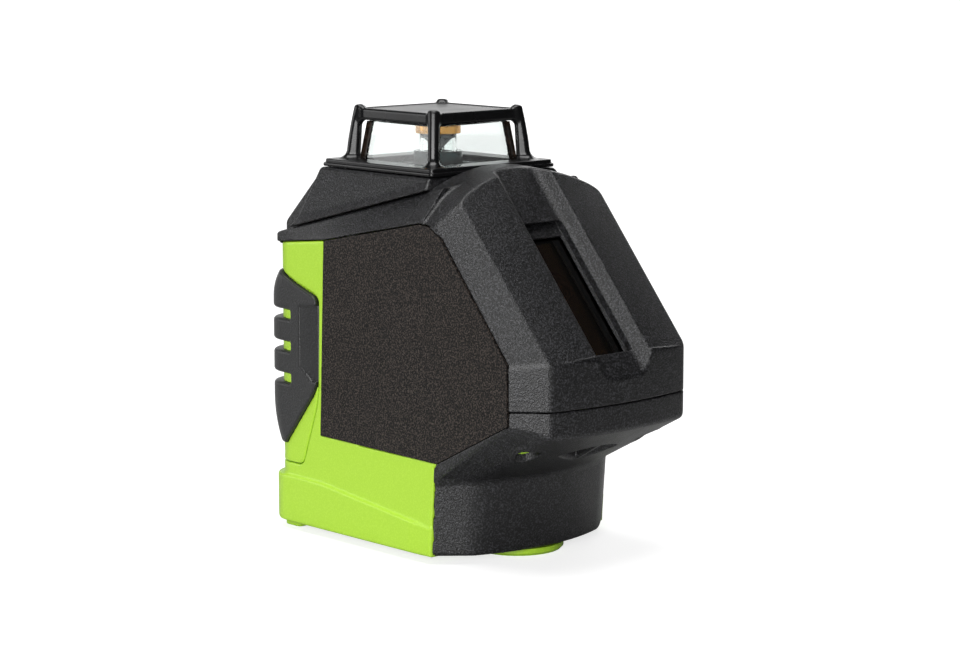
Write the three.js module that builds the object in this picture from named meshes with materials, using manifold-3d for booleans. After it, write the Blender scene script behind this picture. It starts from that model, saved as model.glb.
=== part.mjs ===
// A self-levelling line laser with a ring window on top, in millimetres, +Z up.
// X runs across the body, -Y is the sloping nose window and +Y is the battery door.
// The origin lies under the middle of the instrument, on the surface that it stands on.

import * as THREE from 'three';
import { ConvexGeometry } from 'three/addons/geometries/ConvexGeometry.js';
import { mergeVertices } from 'three/addons/utils/BufferGeometryUtils.js';
import Module from 'manifold-3d';

const wasm = await Module();
wasm.setup();

// ---------------------------------------------------------------- driving sizes
const BODY_WIDTH = 72.2; // across the flat sides
const BODY_LENGTH = 115.6; // nose corner to rear wall
const BODY_HEIGHT = 110.7; // underside of the base to the deck under the guard
const FOOT_HEIGHT = 2.5; // how far the feet and the tripod disc hold the base up
const WALL = 2.4; // moulded walls and floors
const GAP = 0.3; // between pieces that touch or slide

const REAR_RADIUS = 8; // rear corners seen from above
const HEEL_RADIUS = 6; // rear bottom edge seen from the side
const SKIRT_STAND = 0.6; // how far the lower skirt stands out
const PANEL_THICKNESS = 0.9;

const NOSE_BULGE = 3; // how far the middle of the nose stands ahead of its corners
const NOSE_CHAMFER = 8.8; // across, on each side of the nose
const NOSE_CHAMFER_RUN = 9.3; // along, on each side of the nose
const SEAM_HEIGHT = 47.85; // the nose parting line above the base
const NOSE_BAND = 14.15; // upright part of the nose above the parting line
const SLAB_TOP_AHEAD = 41.2; // head of the sloping face ahead of the tower axis
const SLAB_TOP_DROP = 4.7; // and below the deck
const BROW_RISE = 6.5; // how far the brow climbs from its corners to its middle
const CHANNEL_HALF = 11.4; // the channel down the nose, at the sloping face
const CHANNEL_FLOOR_HALF = 8.2;
const CHANNEL_DEPTH = 4.2;
const WINDOW_START = 3.6; // from the nose crease up the slope
const WINDOW_LENGTH = 46.2;
const WINDOW_DEPTH = 7.5; // outer face of the glass below the sloping face
const WINDOW_GLASS = 1.6;

const TOWER_SETBACK = 37.1; // tower axis ahead of the rear wall
const GUARD_HALF = 25; // half width of the guard's foot plate
const DECK_HALF = 26; // half width of the deck under it
const GUARD_HEIGHT = 19.3; // deck to the heads of the guard's posts
const GUARD_TOP_HALF = 17.9;
const PANE_HALF = 17.0; // half width of the glass where it leaves the foot plate
const PANE_THICKNESS = 1.8;
const PANE_LEAN = 0.138; // inward for each millimetre up
const DECK_OPENING_HALF = 14.8;

const GRIP_STAND = 4; // rubber beyond the rear wall
const GRIP_SIDE = 1.1; // rubber beyond the side walls
const GRIP_SLOT = 3;
const GRIP_SLOT_PITCH = 10;
const DOOR_BOTTOM = 19; // lower edge of the battery door above the base
const DOOR_HINGE_RADIUS = 2.6;
const HINGE_PIN_RADIUS = 1;

const CELL_DIAMETER = 14.5; // AA cells
const CELL_LENGTH = 50.5;
const CELL_COUNT = 4;
const CONTACT_THICKNESS = 0.5;
const TRAY_WALL = 1.5;

const PIVOT_DROP = 25.2; // gimbal axes below the deck
const RING_INNER = 16;
const RING_OUTER = 20.5;
const RING_HEIGHT = 5;
const PIN_RADIUS = 1.5;
const BEARING_RADIUS = 4;
const BEARING_WIDTH = 3;
const YOKE_THICKNESS = 4.5;
const MODULE_RADIUS = 6; // laser modules
const FRONT_MODULE_LENGTH = 22;
const FRONT_BEAM_UP = 31.3; // where the front beam leaves, from the nose crease up the slope
const FRONT_BEAM_DEPTH = 12.2; // front end of its module below the sloping face
const HOLDER_WALL = 1; // round the upper module
const TUBE_RADIUS = 6.4;
const TUBE_WALL = 1.2;
const CONE_HEIGHT = 4.9;

const LOCK_TRAVEL = 6;
const LOCK_RISE = 2;
const LOCK_CLEARANCE = 1; // the raised plunger stops this far below the damping plate
const BUTTON_RADIUS = 4.5;
const BUTTON_COUNT = 3;
const BUTTON_PITCH = 15;
const BUTTON_STAND = 1.2;
const BUTTON_DEPTH = 3; // how far each well is sunk

const TRIPOD_DISC_RADIUS = 14.2;
const TRIPOD_HUB_RADIUS = 9;
const THREAD_RADIUS = 3.1; // bore of the 1/4 inch thread
const SCREW_RADIUS = 1.4;

// ---------------------------------------------------------------- derived places
const halfWidth = BODY_WIDTH / 2;
const frontY = -(BODY_LENGTH + NOSE_BULGE + GRIP_STAND) / 2 + NOSE_BULGE;
const rearY = frontY + BODY_LENGTH;
const baseZ = FOOT_HEIGHT;
const floorZ = baseZ + WALL;
const deckZ = baseZ + BODY_HEIGHT;
const seamZ = baseZ + SEAM_HEIGHT;
const creaseZ = seamZ + NOSE_BAND;
const towerY = rearY - TOWER_SETBACK;
const pivotZ = deckZ - PIVOT_DROP;
const noseSideY = frontY + NOSE_CHAMFER_RUN;
const slabTopY = towerY - SLAB_TOP_AHEAD;
const slabTopZ = deckZ - SLAB_TOP_DROP;
const slabRun = Math.hypot(slabTopY - frontY, slabTopZ - creaseZ);
const slabCos = (slabTopY - frontY) / slabRun; // along +Y for each step up the slope
const slabSin = (slabTopZ - creaseZ) / slabRun; // along +Z
const pyramidFrontY = towerY - GUARD_HALF - 0.5;

// Points of the body's side view, as [y, z].
const side = {
  toeLow: [noseSideY + 33, baseZ],
  toeHigh: [noseSideY + 31.3, baseZ + 26.8],
  panelToe: [noseSideY + 30.3, baseZ + 28.4],
  noseLow: [noseSideY, seamZ - 4.15],
  noseHigh: [noseSideY + 0.2, creaseZ - 0.7],
  chamferTop: [slabTopY + 0.2, slabTopZ - 11.1],
  bandFoot: [slabTopY + 5.2, deckZ - 12.8],
  bandStart: [slabTopY + 9.4, deckZ - 12.3],
  panelTop: [towerY + 12.1, deckZ - 21],
  panelHeel: [towerY + 14.3, baseZ + 29.3],
  rearTop: [rearY, deckZ - 23.6],
};

// Top face of the brim, which the pyramid cover stands on: it climbs towards the nose.
const BRIM_SLOPE = 0.27;
const brimFrontZ = deckZ - 3.7;
const brimTop = (y) => brimFrontZ - (y - pyramidFrontY) * BRIM_SLOPE;

// Battery door and its hinge
const doorBottomZ = baseZ + DOOR_BOTTOM;
const doorTopZ = doorBottomZ + CELL_LENGTH + 9.5;
const doorFrontY = rearY - 22.2;
const hingeY = rearY - DOOR_HINGE_RADIUS;
const hingeZ = doorBottomZ + DOOR_HINGE_RADIUS;
const KNUCKLE = [12, 22];
const EAR = [22.3, 26.3];

// Battery bay
const LATCH_ROOM = 2.2; // between the door and the cells
const cellY = rearY - WALL - LATCH_ROOM - CELL_DIAMETER / 2;
const cellBottomZ = hingeZ + DOOR_HINGE_RADIUS + 0.6;
const cellTopZ = cellBottomZ + CELL_LENGTH;
const trayFrontY = cellY - CELL_DIAMETER / 2 - GAP - TRAY_WALL;
const trayHalf = ((CELL_DIAMETER + GAP) * (CELL_COUNT - 1) + CELL_DIAMETER) / 2 + GAP + TRAY_WALL;

// Chassis, from the floor up
const chassisZ = floorZ + GAP;
const CHASSIS_PLATE = 2.8;
const chassisTopZ = chassisZ + CHASSIS_PLATE;
const lockBarZ = chassisTopZ + 4;
const LOCK_BAR_HEIGHT = 3;
const rampZ = lockBarZ + LOCK_BAR_HEIGHT + 1;
const bridgeZ = rampZ + 9.3;
const BRIDGE_THICKNESS = 2;
const magnetZ = bridgeZ + BRIDGE_THICKNESS + GAP;
const MAGNET_HEIGHT = 3.6;
const dampingZ = magnetZ + MAGNET_HEIGHT + 2.8;
const DAMPING_THICKNESS = 2;
const yokeInnerX = RING_OUTER + 2.5;
const yokeOuterX = yokeInnerX + YOKE_THICKNESS;

const holderTopZ = deckZ + 5.2;
const tubeBottomZ = holderTopZ - 1.6;
const tubeTopZ = tubeBottomZ + 6.6;
const capTopZ = tubeTopZ + GAP + 4.5;

const tripodY = noseSideY + 33.7;
const lockZ = baseZ + 21.5;
const lockRestY = towerY + LOCK_TRAVEL / 2;

// ---------------------------------------------------------------- solid helpers
const ROUND = 28; // sides of a plain round piece

function toSolid(geometry) {
  const bare = geometry.clone();
  bare.deleteAttribute('normal');
  bare.deleteAttribute('uv');
  const merged = mergeVertices(bare, 1e-4);
  const places = merged.attributes.position.array;
  const corners = merged.index.array;
  const faces = [];
  for (let i = 0; i < corners.length; i += 3) {
    const [a, b, c] = [corners[i], corners[i + 1], corners[i + 2]];
    if (a !== b && b !== c && c !== a) faces.push(a, b, c);
  }
  if (signedVolume(places, faces) < 0) faces.reverse();
  const mesh = new wasm.Mesh({
    numProp: 3,
    vertProperties: new Float32Array(places),
    triVerts: new Uint32Array(faces),
  });
  return new wasm.Manifold(mesh);
}

function signedVolume(places, faces) {
  const corner = (k) => new THREE.Vector3(places[3 * k], places[3 * k + 1], places[3 * k + 2]);
  let volume = 0;
  for (let i = 0; i < faces.length; i += 3) {
    const cross = corner(faces[i + 1]).cross(corner(faces[i + 2]));
    volume += corner(faces[i]).dot(cross) / 6;
  }
  return volume;
}

function toGeometry(solid) {
  const mesh = solid.getMesh();
  const places = new Float32Array(mesh.numVert * 3);
  for (let i = 0; i < mesh.numVert; i += 1) {
    for (let k = 0; k < 3; k += 1) places[3 * i + k] = mesh.vertProperties[mesh.numProp * i + k];
  }
  const geometry = new THREE.BufferGeometry();
  geometry.setAttribute('position', new THREE.BufferAttribute(places, 3));
  geometry.setIndex(new THREE.BufferAttribute(new Uint32Array(mesh.triVerts), 1));
  geometry.computeVertexNormals();
  return geometry;
}

const joined = (first, ...others) => others.reduce((whole, one) => whole.add(one), first);
const cutBy = (first, ...others) => others.reduce((whole, one) => whole.subtract(one), first);

function block([x0, x1], [y0, y1], [z0, z1]) {
  const geometry = new THREE.BoxGeometry(x1 - x0, y1 - y0, z1 - z0);
  geometry.translate((x0 + x1) / 2, (y0 + y1) / 2, (z0 + z1) / 2);
  return toSolid(geometry);
}

function extruded(outline, depth, matrix) {
  const shape = new THREE.Shape(outline.map(([u, v]) => new THREE.Vector2(u, v)));
  const geometry = new THREE.ExtrudeGeometry(shape, { depth, bevelEnabled: false });
  geometry.applyMatrix4(matrix);
  return toSolid(geometry);
}

// An outline in [y, z], carried across from x0 to x1.
function prismX(outline, [x0, x1]) {
  const axes = new THREE.Matrix4().makeBasis(axisY, axisZ, axisX).setPosition(x0, 0, 0);
  return extruded(outline, x1 - x0, axes);
}

// An outline in [x, y], carried up from z0 to z1.
function prismZ(outline, [z0, z1]) {
  return extruded(outline, z1 - z0, new THREE.Matrix4().setPosition(0, 0, z0));
}

const axisX = new THREE.Vector3(1, 0, 0);
const axisY = new THREE.Vector3(0, 1, 0);
const axisZ = new THREE.Vector3(0, 0, 1);

// A rod along one axis, from one place to another on it.
function rod(axis, radius, [from, to], centre, sides = ROUND) {
  const geometry = new THREE.CylinderGeometry(radius, radius, to - from, sides);
  geometry.translate(0, (from + to) / 2, 0);
  geometry.applyQuaternion(new THREE.Quaternion().setFromUnitVectors(axisY, axis));
  geometry.translate(...centre);
  return toSolid(geometry);
}

const rodX = (radius, span, y, z, sides) => rod(axisX, radius, span, [0, y, z], sides);
const rodY = (radius, span, x, z, sides) => rod(axisY, radius, span, [x, 0, z], sides);
const rodZ = (radius, span, x, y, sides) => rod(axisZ, radius, span, [x, y, 0], sides);

// A profile of [radius, height] points turned round +Z.
function turned(profile, sides = ROUND) {
  const points = profile.map(([radius, height]) => new THREE.Vector2(radius, height));
  const geometry = new THREE.LatheGeometry(points, sides);
  geometry.rotateX(Math.PI / 2);
  return toSolid(geometry);
}

const ringProfile = (inner, outer, z0, z1) => [
  [inner, z0], [outer, z0], [outer, z1], [inner, z1], [inner, z0],
];

const hullOf = (points) => toSolid(new ConvexGeometry(points.map((p) => new THREE.Vector3(...p))));

function placed(solid, matrix) {
  const geometry = toGeometry(solid);
  geometry.applyMatrix4(matrix);
  return toSolid(geometry);
}

const movedBy = (solid, x, y, z) => placed(solid, new THREE.Matrix4().setPosition(x, y, z));
const mirrored = (solid) => placed(solid, new THREE.Matrix4().makeScale(-1, 1, 1));

// Moves every edge of an outline outwards by a distance, or inwards if it is negative.
function grown(outline, distance) {
  const points = outline.map(([u, v]) => new THREE.Vector2(u, v));
  const outward = THREE.ShapeUtils.area(points) > 0 ? distance : -distance;
  return points.map((point, i) => {
    const before = points[(i + points.length - 1) % points.length];
    const after = points[(i + 1) % points.length];
    const first = point.clone().sub(before).normalize();
    const second = after.clone().sub(point).normalize();
    const normals = new THREE.Vector2(first.y + second.y, -first.x - second.x);
    const reach = outward / (1 + first.dot(second));
    return [point.x + normals.x * reach, point.y + normals.y * reach];
  });
}

// Rounds the named corners of an outline, each with its own radius.
function rounded(outline, radii, steps = 6) {
  return outline.flatMap((corner, i) => {
    const radius = Array.isArray(radii) ? radii[i] : radii;
    if (!radius) return [corner];
    const point = new THREE.Vector2(...corner);
    const before = new THREE.Vector2(...outline[(i + outline.length - 1) % outline.length]);
    const after = new THREE.Vector2(...outline[(i + 1) % outline.length]);
    const toBefore = before.sub(point).normalize();
    const toAfter = after.sub(point).normalize();
    const halfAngle = Math.acos(THREE.MathUtils.clamp(toBefore.dot(toAfter), -1, 1)) / 2;
    const start = point.clone().addScaledVector(toBefore, radius / Math.tan(halfAngle));
    const end = point.clone().addScaledVector(toAfter, radius / Math.tan(halfAngle));
    const middle = toBefore.clone().add(toAfter).normalize();
    const centre = point.clone().addScaledVector(middle, radius / Math.sin(halfAngle));
    const from = start.clone().sub(centre);
    const sweep = Math.atan2(from.cross(end.clone().sub(centre)), from.dot(end.clone().sub(centre)));
    return Array.from({ length: steps + 1 }, (_, k) => {
      const spoke = from.clone().rotateAround(new THREE.Vector2(), (sweep * k) / steps);
      return [centre.x + spoke.x, centre.y + spoke.y];
    });
  });
}

const rectangle = ([u0, u1], [v0, v1]) => [[u0, v0], [u1, v0], [u1, v1], [u0, v1]];

// ---------------------------------------------------------------- body outlines
const FAR = 400; // well past the body in any direction

// The body from above, moved inwards by inset: open past the nose, round at the rear.
function bodyPlan(inset, rear = 0) {
  const x = halfWidth - inset;
  const y = rearY - inset + rear;
  const corners = [[-x, -FAR], [x, -FAR], [x, y], [-x, y]];
  const radius = Math.max(REAR_RADIUS - inset, 1);
  return rounded(corners, [0, 0, radius, radius]);
}

// The side view of the green housing.
function housingSide() {
  const corners = [
    side.toeLow, [rearY, baseZ], side.rearTop, side.panelTop, side.bandStart, side.bandFoot,
    side.chamferTop, side.noseHigh, side.noseLow, side.panelToe, side.toeHigh,
  ];
  return rounded(corners, corners.map((_, i) => (i === 1 ? HEEL_RADIUS : 0)));
}

function skirtSide() {
  const corners = [
    side.toeLow, [rearY + SKIRT_STAND, baseZ], [rearY + SKIRT_STAND, baseZ + 14.8],
    [towerY + 13.2, baseZ + 14.3], [side.toeLow[0] - 0.6, baseZ + 8.6],
  ];
  return rounded(corners, [0, HEEL_RADIUS, 0, 0, 0]);
}

// The inset panel on each side, which ends at the nose.
const panelSide = () => [
  side.panelTop, side.panelHeel, side.panelToe, side.noseLow, side.noseHigh,
  side.chamferTop, side.bandFoot, side.bandStart,
];

// The battery door: a wing on each side joined across the rear.
function doorSide() {
  const corners = [
    [doorFrontY + 0.6, doorBottomZ + 21], [doorFrontY + 8.2, doorBottomZ], [FAR, doorBottomZ],
    [FAR, doorTopZ], [rearY - 3.2, doorTopZ], [rearY - 11, doorTopZ - 3.4],
    [doorFrontY, doorTopZ - 7],
  ];
  return rounded(corners, [30, 2, 0, 0, 3, 8, 3]);
}

// The rubber grip on the door.
function gripSide() {
  const corners = [
    [doorFrontY + 0.2, doorBottomZ + 25.2], [rearY - 6.5, hingeZ + DOOR_HINGE_RADIUS + 0.6],
    [FAR, hingeZ + DOOR_HINGE_RADIUS + 1.3], [FAR, doorTopZ - 0.3], [rearY - 3.2, doorTopZ - 0.3],
    [rearY - 11, doorTopZ - 3.7], [doorFrontY + 0.2, doorTopZ - 7.2],
  ];
  return rounded(corners, [12, 1, 0, 0, 3, 8, 3]);
}

// Points of one level of the nose: two side points and the bulged front between its corners.
function noseLevel({ half, sideY, sideZ, tipHalf, tipY, tipZ, bulge = NOSE_BULGE, rise = 0 }) {
  const points = [[-half, sideY, sideZ], [half, sideY, sideZ]];
  const steps = 8;
  for (let i = 0; i <= steps; i += 1) {
    const across = -1 + (2 * i) / steps;
    const crown = 1 - across * across;
    const lean = (slabCos / slabSin) * rise * crown;
    points.push([across * tipHalf, tipY + lean - bulge * crown, tipZ + rise * crown]);
  }
  return points;
}

// The whole nose above its parting line, moved inwards by inset.
function noseUpper(inset, backY) {
  const half = halfWidth - inset;
  const tipHalf = halfWidth - NOSE_CHAMFER - inset * 0.6;
  const back = inset / slabSin;
  const bottom = inset ? seamZ - 5 : seamZ + GAP / 2;
  const front = { half, tipHalf, sideY: noseSideY + inset, tipY: frontY + inset };
  const browRear = brimTop(pyramidFrontY) - inset;
  return hullOf([
    ...noseLevel({ ...front, sideZ: bottom, tipZ: bottom }),
    ...noseLevel({ ...front, sideZ: creaseZ - 0.7, tipZ: creaseZ - inset * 0.4 }),
    ...noseLevel({
      half, tipHalf, sideY: slabTopY + back, sideZ: side.chamferTop[1] - inset,
      tipY: slabTopY + back, tipZ: slabTopZ - inset, rise: BROW_RISE,
    }),
    ...[-1, 1].flatMap((hand) => [
      [hand * half, side.bandFoot[0] + inset, side.bandFoot[1] - inset],
      [hand * half, side.bandStart[0], side.bandStart[1] - inset],
      [hand * half, backY, side.bandStart[1] - inset],
      [hand * half, backY, bottom],
      [hand * (tipHalf - 0.1), backY, browRear],
      [hand * (CHANNEL_HALF + 0.6), backY, browRear + 4.6],
    ]),
  ]);
}

// The level where the nose's underside meets the base block, moved inwards by inset.
const BLOCK_BULGE = 5;
const BLOCK_CHAMFER = 6.7;
function blockLevel(inset, z) {
  return noseLevel({
    half: halfWidth - inset, sideY: side.toeHigh[0] + inset, sideZ: z,
    tipHalf: halfWidth - BLOCK_CHAMFER - inset * 0.6, tipY: side.toeHigh[0] - 12 + inset, tipZ: z,
    bulge: BLOCK_BULGE,
  });
}

// The wedge of the nose below its parting line, down to the base block.
function noseLower(inset, backY) {
  const half = halfWidth - inset;
  const top = inset ? seamZ + 5 : seamZ - GAP / 2;
  const front = {
    half, tipHalf: halfWidth - NOSE_CHAMFER - inset * 0.6,
    sideY: noseSideY + inset, tipY: frontY + inset,
  };
  return hullOf([
    ...noseLevel({ ...front, sideZ: top, tipZ: top }),
    ...noseLevel({ ...front, sideZ: side.noseLow[1] + inset * 0.5, tipZ: seamZ - 7.95 + inset * 0.5 }),
    ...blockLevel(inset, side.toeHigh[1] - 3.8 + inset),
    ...[-1, 1].flatMap((hand) => [
      [hand * half, backY, side.toeHigh[1] - 3.8 + inset],
      [hand * half, backY, top],
    ]),
  ]);
}

function baseBlock(inset, backY) {
  const levels = [baseZ + inset, side.toeHigh[1] - 3.8 + inset + (inset ? 1 : 0)];
  return hullOf(levels.flatMap((z) => [
    ...blockLevel(inset, z),
    [-(halfWidth - inset), backY, z],
    [halfWidth - inset, backY, z],
  ]));
}

// A frame on the sloping face: x across, y up the slope, z out of the face.
const slabFrame = new THREE.Matrix4()
  .makeBasis(
    axisX,
    new THREE.Vector3(0, slabCos, slabSin),
    new THREE.Vector3(0, -slabSin, slabCos),
  )
  .setPosition(0, frontY - NOSE_BULGE, creaseZ);
const onSlab = (solid) => placed(solid, slabFrame);

// ---------------------------------------------------------------- housing and covers
const noseScrew = { x: halfWidth - 11.6, y: noseSideY + 3.5 };
const caseScrew = { x: 24, y: rearY - 13 };
const WELL_RADIUS = 3.6;
const noseSeatZ = seamZ - 6;

function makeHousing() {
  const side2D = housingSide();
  const shell = prismZ(bodyPlan(0), [baseZ, deckZ]).intersect(prismX(side2D, [-FAR, FAR]));
  const skirt = prismZ(bodyPlan(-SKIRT_STAND), [baseZ, deckZ])
    .intersect(prismX(skirtSide(), [-FAR, FAR]));
  const room = prismZ(bodyPlan(WALL), [floorZ, FAR]);
  const recess = prismX(grown(panelSide(), GAP), [halfWidth - PANEL_THICKNESS - GAP, FAR]);
  const ears = [-1, 1].map((hand) => hingeEar(hand));
  const pinHole = rodX(HINGE_PIN_RADIUS + GAP, [-EAR[1] - 1, EAR[1] + 1], hingeY, hingeZ, 16);
  const latchNotch = block([-6.5, 6.5], [rearY - WALL - 1, FAR], [doorTopZ - 1, doorTopZ + 3.5]);
  return cutBy(
    joined(
      cutBy(
        joined(shell, skirt),
        room,
        prismX(grown(doorSide(), GAP), [-FAR, FAR]),
        recess,
        mirrored(recess),
        latchNotch,
      ),
      ...ears,
      ...rearFeet(),
    ),
    pinHole,
    rodZ(TRIPOD_HUB_RADIUS + GAP, [-1, floorZ + 1], 0, tripodY),
    ...lockOpening(),
    ...[-1, 1].map((hand) => screwHole(hand * caseScrew.x, caseScrew.y)),
  );
}

function hingeEar(hand) {
  const span = hand > 0 ? EAR : [-EAR[1], -EAR[0]];
  const barrel = rodX(DOOR_HINGE_RADIUS, span, hingeY, hingeZ, 24);
  const stem = block(span, [hingeY - DOOR_HINGE_RADIUS, rearY - 0.2], [doorBottomZ - 4, hingeZ]);
  return joined(barrel, stem);
}

function rearFeet() {
  const foot = rounded(rectangle([halfWidth - 9, halfWidth - 3], [rearY - 10.5, rearY - 3]), 2, 3);
  const solid = prismZ(foot, [0, baseZ + 1]);
  return [solid, mirrored(solid)];
}

// The slot and the shallow recess that the lock slider runs in.
function lockOpening() {
  const slot = rectangle(
    [lockRestY - LOCK_TRAVEL - 2 - GAP, lockRestY + 2 + GAP],
    [lockZ - 1.5 - GAP, lockZ + 1.5 + GAP],
  );
  const recess = rectangle(
    [lockRestY - LOCK_TRAVEL - 6 - GAP, lockRestY + 6 + GAP],
    [lockZ - 3.5 - GAP, lockZ + 3.5 + GAP],
  );
  return [
    prismX(slot, [halfWidth - WALL - 1, FAR]),
    prismX(recess, [halfWidth - 0.9, FAR]),
  ];
}

function screwHole(x, y) {
  const head = rodZ(2.6 + GAP, [baseZ - 1, baseZ + 1.6], x, y, 20);
  return joined(head, rodZ(SCREW_RADIUS + GAP, [baseZ, chassisTopZ + 9], x, y, 20));
}

function makeFrontCover() {
  const outer = joined(noseUpper(0, pyramidFrontY - GAP), brim());
  const boss = (hand) => rodZ(
    4, [seamZ + GAP / 2, slabTopZ], hand * noseScrew.x, noseScrew.y, 20,
  ).intersect(noseUpper(0, pyramidFrontY - GAP));
  const bore = (hand) => rodZ(
    SCREW_RADIUS + GAP, [seamZ - 1, seamZ + 14], hand * noseScrew.x, noseScrew.y, 16,
  );
  const channelBed = onSlab(block(
    [-CHANNEL_HALF - 1.5, CHANNEL_HALF + 1.5], [-10, slabRun + 16], [-WINDOW_DEPTH + GAP, 20],
  ));
  const room = cutBy(noseUpper(WALL, pyramidFrontY + 2), channelBed);
  const well = prismZ(brimRoom(), [baseZ, deckZ + 20]);
  return cutBy(
    joined(cutBy(outer, room, well), boss(-1), boss(1)),
    prismX(grown(housingSide(), GAP), [-FAR, FAR]),
    channel(),
    windowOpening(),
    ...[-1, 1].map(bore),
  );
}

// The collar that runs round the body from the nose and carries the pyramid cover.
function brim() {
  const stand = 0.6;
  const rearStand = 1.8;
  const lower = bodyPlan(-stand, rearStand - stand).filter(([, y]) => y > 0);
  const upper = bodyPlan(0.8, rearStand - 0.8).filter(([, y]) => y > 0);
  const lid = (y) => brimTop(y) - GAP / 2;
  const rearZ = side.rearTop[1] - 1;
  const points = [
    ...lower.map(([x, y]) => [x, y, rearZ]),
    ...upper.map(([x, y]) => [x, y, lid(y)]),
    ...[-1, 1].flatMap((hand) => [
      [hand * halfWidth, side.bandStart[0], side.bandStart[1] - 0.5],
      [hand * halfWidth, side.bandStart[0], rearZ],
      [hand * (halfWidth + stand), side.panelTop[0], side.panelTop[1] - 1],
      [hand * pyramidFoot.frontHalf, pyramidFrontY, lid(pyramidFrontY)],
      [hand * pyramidFoot.rearHalf, pyramidFoot.rearY, lid(pyramidFoot.rearY)],
    ]),
  ];
  return hullOf(points);
}

const pyramidFoot = {
  frontHalf: halfWidth - 8.9,
  rearHalf: halfWidth - 0.6,
  rearY: rearY - 9.3,
};

const BRIM_SHELF = 2.8;
const brimRoom = () => [
  [-(pyramidFoot.frontHalf - BRIM_SHELF), pyramidFrontY + 2],
  [pyramidFoot.frontHalf - BRIM_SHELF, pyramidFrontY + 2],
  [pyramidFoot.rearHalf - BRIM_SHELF - 0.6, pyramidFoot.rearY - 5],
  [pyramidFoot.rearHalf - 9, rearY - WALL - 2.6],
  [-(pyramidFoot.rearHalf - 9), rearY - WALL - 2.6],
  [-(pyramidFoot.rearHalf - BRIM_SHELF - 0.6), pyramidFoot.rearY - 5],
];

// The channel down the nose: a floor with sloping flanks, open at both ends.
function channel() {
  const section = rounded(
    [
      [-CHANNEL_HALF - 4, 5], [-CHANNEL_FLOOR_HALF, -CHANNEL_DEPTH],
      [CHANNEL_FLOOR_HALF, -CHANNEL_DEPTH], [CHANNEL_HALF + 4, 5],
    ],
    [0, 1.2, 1.2, 0],
    3,
  );
  const along = new THREE.Matrix4()
    .makeBasis(axisX, axisZ, axisY.clone().negate())
    .setPosition(0, slabRun + 40, 0);
  return onSlab(extruded(section, slabRun + 80, along));
}

// The window opening in the channel floor, with a ramp at its upper end.
function windowOpening() {
  const half = CHANNEL_FLOOR_HALF - 0.4;
  const end = WINDOW_START + WINDOW_LENGTH;
  const ramp = WINDOW_DEPTH - CHANNEL_DEPTH;
  const profile = [
    [WINDOW_START, 1], [WINDOW_START, -FAR], [end - ramp, -FAR],
    [end - ramp, -WINDOW_DEPTH], [end, -CHANNEL_DEPTH], [end, 1],
  ];
  return onSlab(prismX(profile, [-half, half]).intersect(
    block([-half, half], [0, slabRun], [-WINDOW_DEPTH - 6, 1]),
  ));
}

function makeFrontWindow() {
  const half = CHANNEL_FLOOR_HALF + 1.2;
  const outline = rounded(
    rectangle([-half, half], [WINDOW_START - 1.6, WINDOW_START + WINDOW_LENGTH - 1.6]), 1, 3,
  );
  return onSlab(prismZ(outline, [-WINDOW_DEPTH - WINDOW_GLASS, -WINDOW_DEPTH]));
}

// The frame that holds the glass against the back of the channel floor.
function makeWindowFrame() {
  const half = CHANNEL_FLOOR_HALF + 3;
  const span = [WINDOW_START - 3, WINDOW_START + WINDOW_LENGTH];
  const outline = rounded(rectangle([-half, half], span), 2, 3);
  const opening = rounded(
    rectangle(
      [-CHANNEL_FLOOR_HALF + 0.6, CHANNEL_FLOOR_HALF - 0.6],
      [WINDOW_START, WINDOW_START + WINDOW_LENGTH - 3.4],
    ), 1, 3,
  );
  const back = -WINDOW_DEPTH - WINDOW_GLASS - GAP;
  return onSlab(cutBy(
    prismZ(outline, [back - 1.6, back]),
    prismZ(opening, [back - 3, back + 1]),
  ));
}

function makeFrontBase() {
  const backY = side.toeLow[0] + 2;
  const outer = joined(noseLower(0, backY), baseBlock(0, backY));
  const room = joined(noseLower(WALL, backY + 4), baseBlock(WALL, backY + 4));
  const well = (hand) => rodZ(
    WELL_RADIUS + 1.4, [baseZ, seamZ - GAP / 2], hand * noseScrew.x, noseScrew.y, 24,
  ).intersect(noseLower(0, backY));
  const sinking = (hand) => joined(
    rodZ(WELL_RADIUS, [baseZ, noseSeatZ], hand * noseScrew.x, noseScrew.y, 24),
    rodZ(SCREW_RADIUS + GAP, [baseZ, seamZ + 1], hand * noseScrew.x, noseScrew.y, 16),
  );
  const slotBox = cutBy(strapSlot(WALL), block([-1, 1], [-FAR, FAR], [-FAR, FAR]));
  return cutBy(
    joined(cutBy(outer, room), well(-1), well(1)),
    prismX(grown(housingSide(), GAP), [-FAR, FAR]),
    rodZ(TRIPOD_HUB_RADIUS + GAP, [-1, floorZ + 1], 0, tripodY),
    slotBox,
    ...[-1, 1].map(sinking),
  );
}

// A lens-shaped pair of slots in the underside of the nose, either side of a bar.
function strapSlot(depth) {
  const half = 10;
  const bow = 3.4;
  const centreY = noseSideY + 3.3;
  const outline = [-1, 1].flatMap((way) => Array.from({ length: 8 }, (_, i) => {
    const across = way * (-1 + (2 * i) / 8);
    return [across * half, centreY - way * bow * (1 - across * across)];
  }));
  return prismZ(outline, [baseZ + 15, seamZ - 7.95 + depth * 2]);
}

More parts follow.
